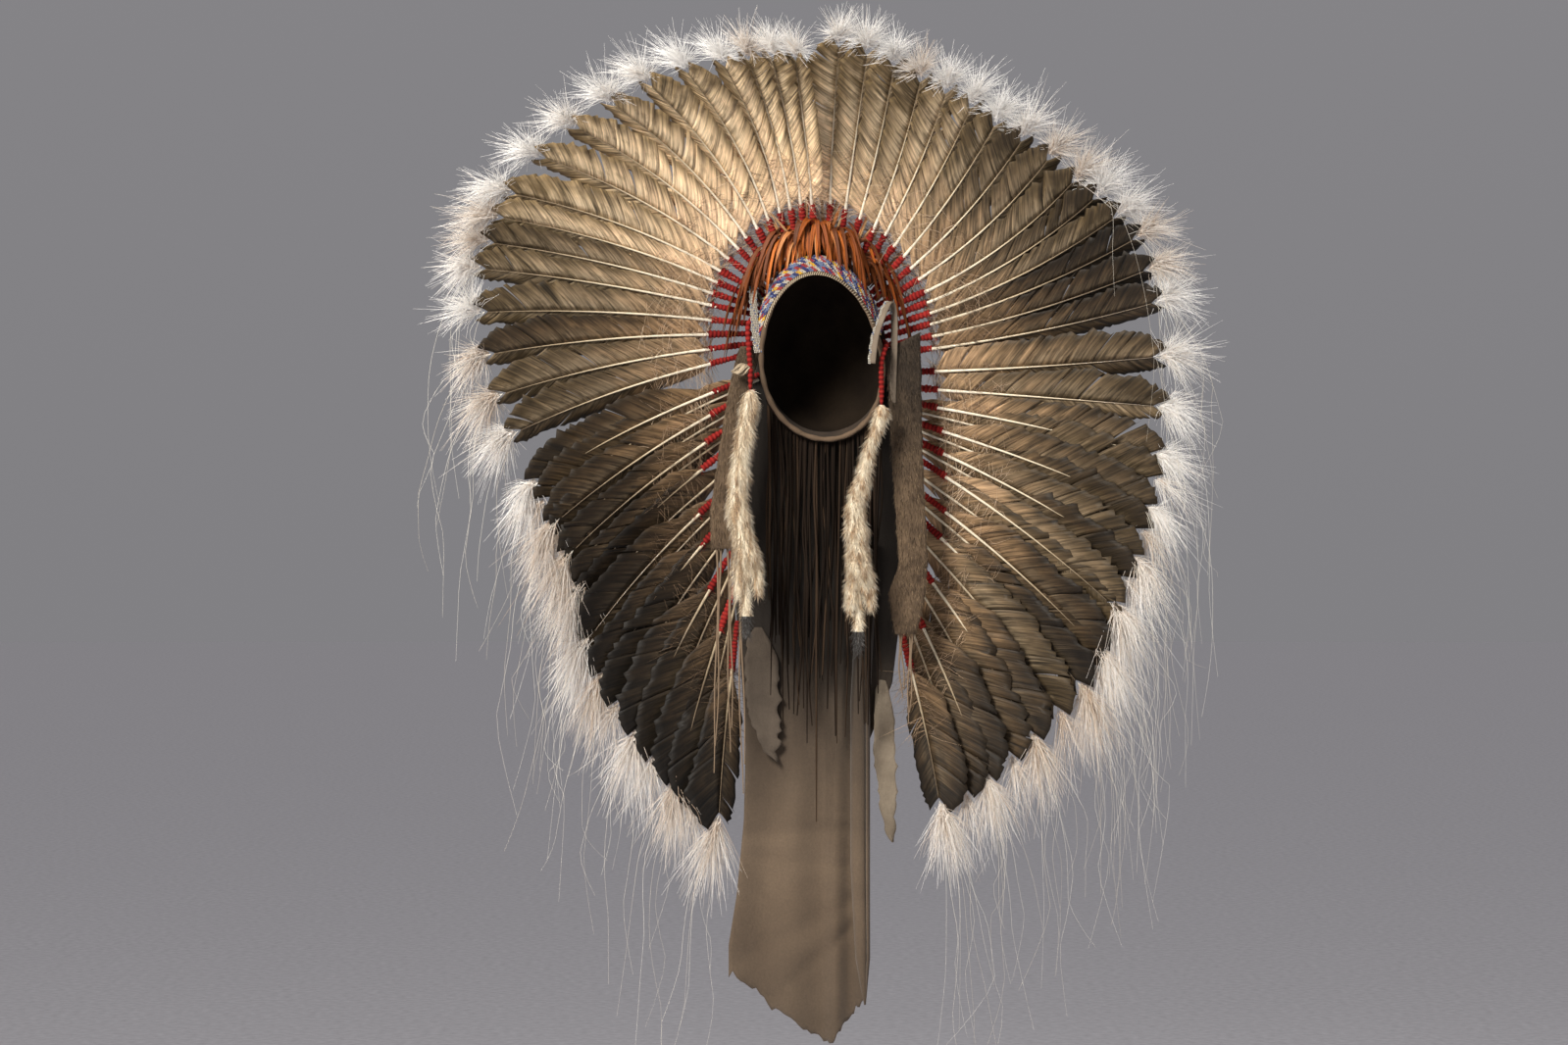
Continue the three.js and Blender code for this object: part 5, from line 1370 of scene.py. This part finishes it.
ties = {"length": 84, "radius": 3.2, "turns": 17, "knot": 28}
tieRows = {
    "left": [(-0.08, -0.06, -0.5), (0.13, 0.14, -0.38), (0.13, 0.19, 0), (0.11, 0.19, 0.27), (0.11, 0.19, 0.6)],
    "right": [(-0.08, -0.02, -0.12), (0.02, 0.14, -0.08), (-0.01, 0.28, 0.03), (-0.055, 0.31, 0.2),
              (-0.055, 0.31, 0.55), (-0.055, 0.31, 0.82)],
}
for name, side in sides.items():
    line = smoothPath([flankPoint(side, ties["length"], row) for row in tieRows[name]], 120)
    share = np.linspace(0, 1, 120)
    wound = np.sin(share * 2 * np.pi * ties["turns"])
    radius = ties["radius"] * np.interp(share, [0, 0.06, 0.85, 1], [0.6, 0.95, 0.95, 0.55]) * (1 + 0.13 * wound)
    paths = Paths()
    # painted shade: the wound wool is darker between its turns and lighter on its ridges
    paths.add(line, thickness=radius, tone=0.45 + 0.35 * wound)
    settleStrands(paths, "wool_tie_" + name, wrapMaterial, 10, "wool", "wrapped_tie_" + name)

knot = {"strands": 15, "seed": 61}
rng = np.random.default_rng(knot["seed"])
middle = flankPoint(-1, ties["length"], tieRows["left"][-2])
pile = Pile()
for number in range(knot["strands"]):
    steps = np.linspace(0, 1, 12)
    turn = rng.uniform(0, 2 * np.pi)
    swirl = turn + steps * rng.uniform(2, 5)
    radius = 6.2 * np.sin(np.pi * np.clip(steps, 0.05, 0.95)) * rng.uniform(0.6, 1.0)
    line = middle + rightward * (0.1 - 0.95 * steps[:, None]) * ties["knot"] * rng.uniform(0.7, 1)
    line = line + down * steps[:, None] * ties["knot"] / 5
    line = line + np.stack([0 * steps, np.cos(swirl) * radius, np.sin(swirl) * radius], -1)
    front, back, *_ = ribbonSkin(line, 4.5 * np.sin(np.pi * np.clip(steps, 0.08, 0.92)), 0.7, unit(rng.normal(0, 1, 3)))
    pile.addSheet(front, back)
settle(pile.build("hide_knot", creamMaterial), "cream")
print("stage: loops and ties")

ermine = {"length": 230, "width": 30, "leg": 46, "rings": 70, "seed": 88, "black": 28}
# two hind legs and the tail, as shares of the skin's width and the legs' length
ermineLimbs = [
    {"aside": -0.24, "long": 1.15, "down": [0, 0.4, 0.8, 1], "thick": [0.24, 0.23, 0.17, 0.05], "tone": 0.3},
    {"aside": 0.26, "long": 1.05, "down": [0, 0.4, 0.8, 1], "thick": [0.24, 0.22, 0.16, 0.05], "tone": 0.35},
    {"aside": -0.05, "long": 2.2, "down": [0, 0.4, 0.75, 0.95, 1], "thick": [0.1, 0.12, 0.15, 0.1, 0.03], "tone": 0.6},
]
ermineRows = {
    "left": {"down": [0, 0.06, 0.36, 0.62, 0.9, 1], "out": [0, 0, 0.05, 0.07, 0.01, 0.01],
             "width": [0.35, 0.68, 0.72, 0.86, 1, 0.5], "lie": 18},
    "right": {"down": [0, 0.05, 0.22, 0.55, 0.86, 1], "out": [0, 0, -0.06, -0.14, -0.12, -0.08],
              "width": [0.4, 0.56, 0.4, 0.82, 1, 0.5], "lie": 60},
}
furStops = [(0.0, (0.26, 0.155, 0.075)), (0.3, (0.47, 0.33, 0.195)), (0.6, (0.74, 0.64, 0.47)), (1.0, (0.87, 0.8, 0.66))]


def ermineMaterial(name, blackBelow, lie):
    # white fur with tan streaks, dark at the tail's end
    material, tree, shader = newMaterial(name, 0.85, Sheen_Weight=0.3)
    axes = axesOf(tree, objectPoint(tree))
    stretched = [mathNode(tree, "MULTIPLY", axis, scale) for axis, scale in zip(axes, (120, 120, lie))]
    streaky = noise(tree, combine(tree, *stretched), 1.0)
    own = mathNode(tree, "MULTIPLY_ADD", readValue(tree, "tone"), 0.4, -1.0)
    tone = mathNode(tree, "MULTIPLY_ADD", streaky, 2.6, own)
    ground = ramp(tree, tone, furStops)
    below = mathNode(tree, "LESS_THAN", axes[2], blackBelow * mm)
    tree.links.new(mixColours(tree, below, ground, (0.025, 0.02, 0.016)), shader.inputs["Base Color"])
    bump(tree, shader, streaky, 0.5, 0.001)
    return material


for name, side in sides.items():
    rng = np.random.default_rng(ermine["seed"] + side)
    table = ermineRows[name]
    top = flankPoint(side, ties["length"], tieRows[name][-1]) + down * cap["gap"]
    share = np.linspace(0, 1, ermine["rings"])
    out = np.interp(share, table["down"], table["out"])
    line = top + down * ermine["length"] * share[:, None] + rightward * side * ermine["length"] * out[:, None]
    width = np.interp(share, table["down"], table["width"]) * ermine["width"] / 2 * 0.82
    width = width * (1 + 0.08 * np.sin(share * 31) + 0.06 * np.sin(share * 57 + 1))
    width[[0, -1]] *= 0.6
    paths = Paths()
    paths.add(line, thickness=width, tone=0.6)
    rump = line[-9]
    for limb in ermineLimbs:
        steps = np.linspace(0, 1, 16)
        hip = rump + rightward * limb["aside"] * ermine["width"]
        run = hip + down * ermine["leg"] * limb["long"] * steps[:, None]
        run = run + rightward * (limb["aside"] * ermine["width"] * 0.7 * steps)[:, None]
        run[:, 1] += 2 * np.sin(steps * 5)
        paths.add(run, thickness=ermine["width"] * np.interp(steps, limb["down"], limb["thick"]), tone=limb["tone"])
    blackBelow = rump[2] - ermine["leg"] * ermineLimbs[-1]["long"] + ermine["black"]
    material = ermineMaterial("ermine " + name, blackBelow, table["lie"])
    body = settleStrands(paths, "ermine_skin_" + name, material, 14, "ermine", "ermine_" + name)
    furPiece = furOn(body, "ermine_fur_" + name, material, Density=270000.0, Length=0.0105, Radius=0.00042, Lift=0.75,
                     Seed=20 + side)
    settle(furPiece, "ermine")
    print("stage: ermine", name, len(furPiece.data.polygons))

# floor, light and finish

floorPlane = {"height": -1.65, "reach": 40}
mesh = bpy.data.meshes.new("floor")
reach = floorPlane["reach"]
corners = [(-reach, -reach), (reach, -reach), (reach, reach), (-reach, reach)]
mesh.from_pydata([(x, y, floorPlane["height"]) for x, y in corners], [], [(0, 1, 2, 3)])
floor = bpy.data.objects.new("floor", mesh)
bpy.context.collection.objects.link(floor)
mesh.materials.append(mottledMaterial("pale floor", (0.68, 0.665, 0.69), (0.66, 0.645, 0.67), 0.3, 2, 40, 0.9, 0.0002))

bpy.context.scene.view_settings.view_transform = "Standard"
world = bpy.data.worlds.new("studio")
bpy.context.scene.world = world
world.use_nodes = True
sky = world.node_tree
upward = axesOf(sky, objectPoint(sky, "Generated"))[2]
skyStops = [(0.0, (0.221, 0.217, 0.2285)), (0.16, (0.235, 0.23, 0.242)), (1.0, (0.38, 0.375, 0.385))]
sky.links.new(ramp(sky, upward, skyStops), sky.nodes["Background"].inputs["Color"])
sky.nodes["Background"].inputs["Strength"].default_value = 1.0

lamps = [
    {"name": "key", "place": (-1.6, -2.75, 1.7), "size": 1.1, "power": 225, "colour": (1.0, 0.95, 0.88)},
    {"name": "fill", "place": (2.6, -2.6, 0.4), "size": 2.4, "power": 9, "colour": (1.0, 0.98, 0.96)},
    {"name": "back", "place": (-0.6, 2.6, 2.2), "size": 2.0, "power": 45, "colour": (1.0, 1.0, 1.0)},
]
for lamp in lamps:
    data = bpy.data.lights.new(lamp["name"], "AREA")
    data.size = lamp["size"]
    data.energy = lamp["power"]
    data.color = lamp["colour"]
    light = bpy.data.objects.new(lamp["name"], data)
    light.location = lamp["place"]
    direction = np.array([0.0, 0.0, -0.1]) - np.array(lamp["place"])
    flatLength = math.hypot(direction[0], direction[1])
    pitch = math.pi / 2 - math.atan2(-direction[2], flatLength)
    light.rotation_euler = (pitch, 0, math.atan2(-direction[0], direction[1]))
    bpy.context.collection.objects.link(light)

print("stage: done")
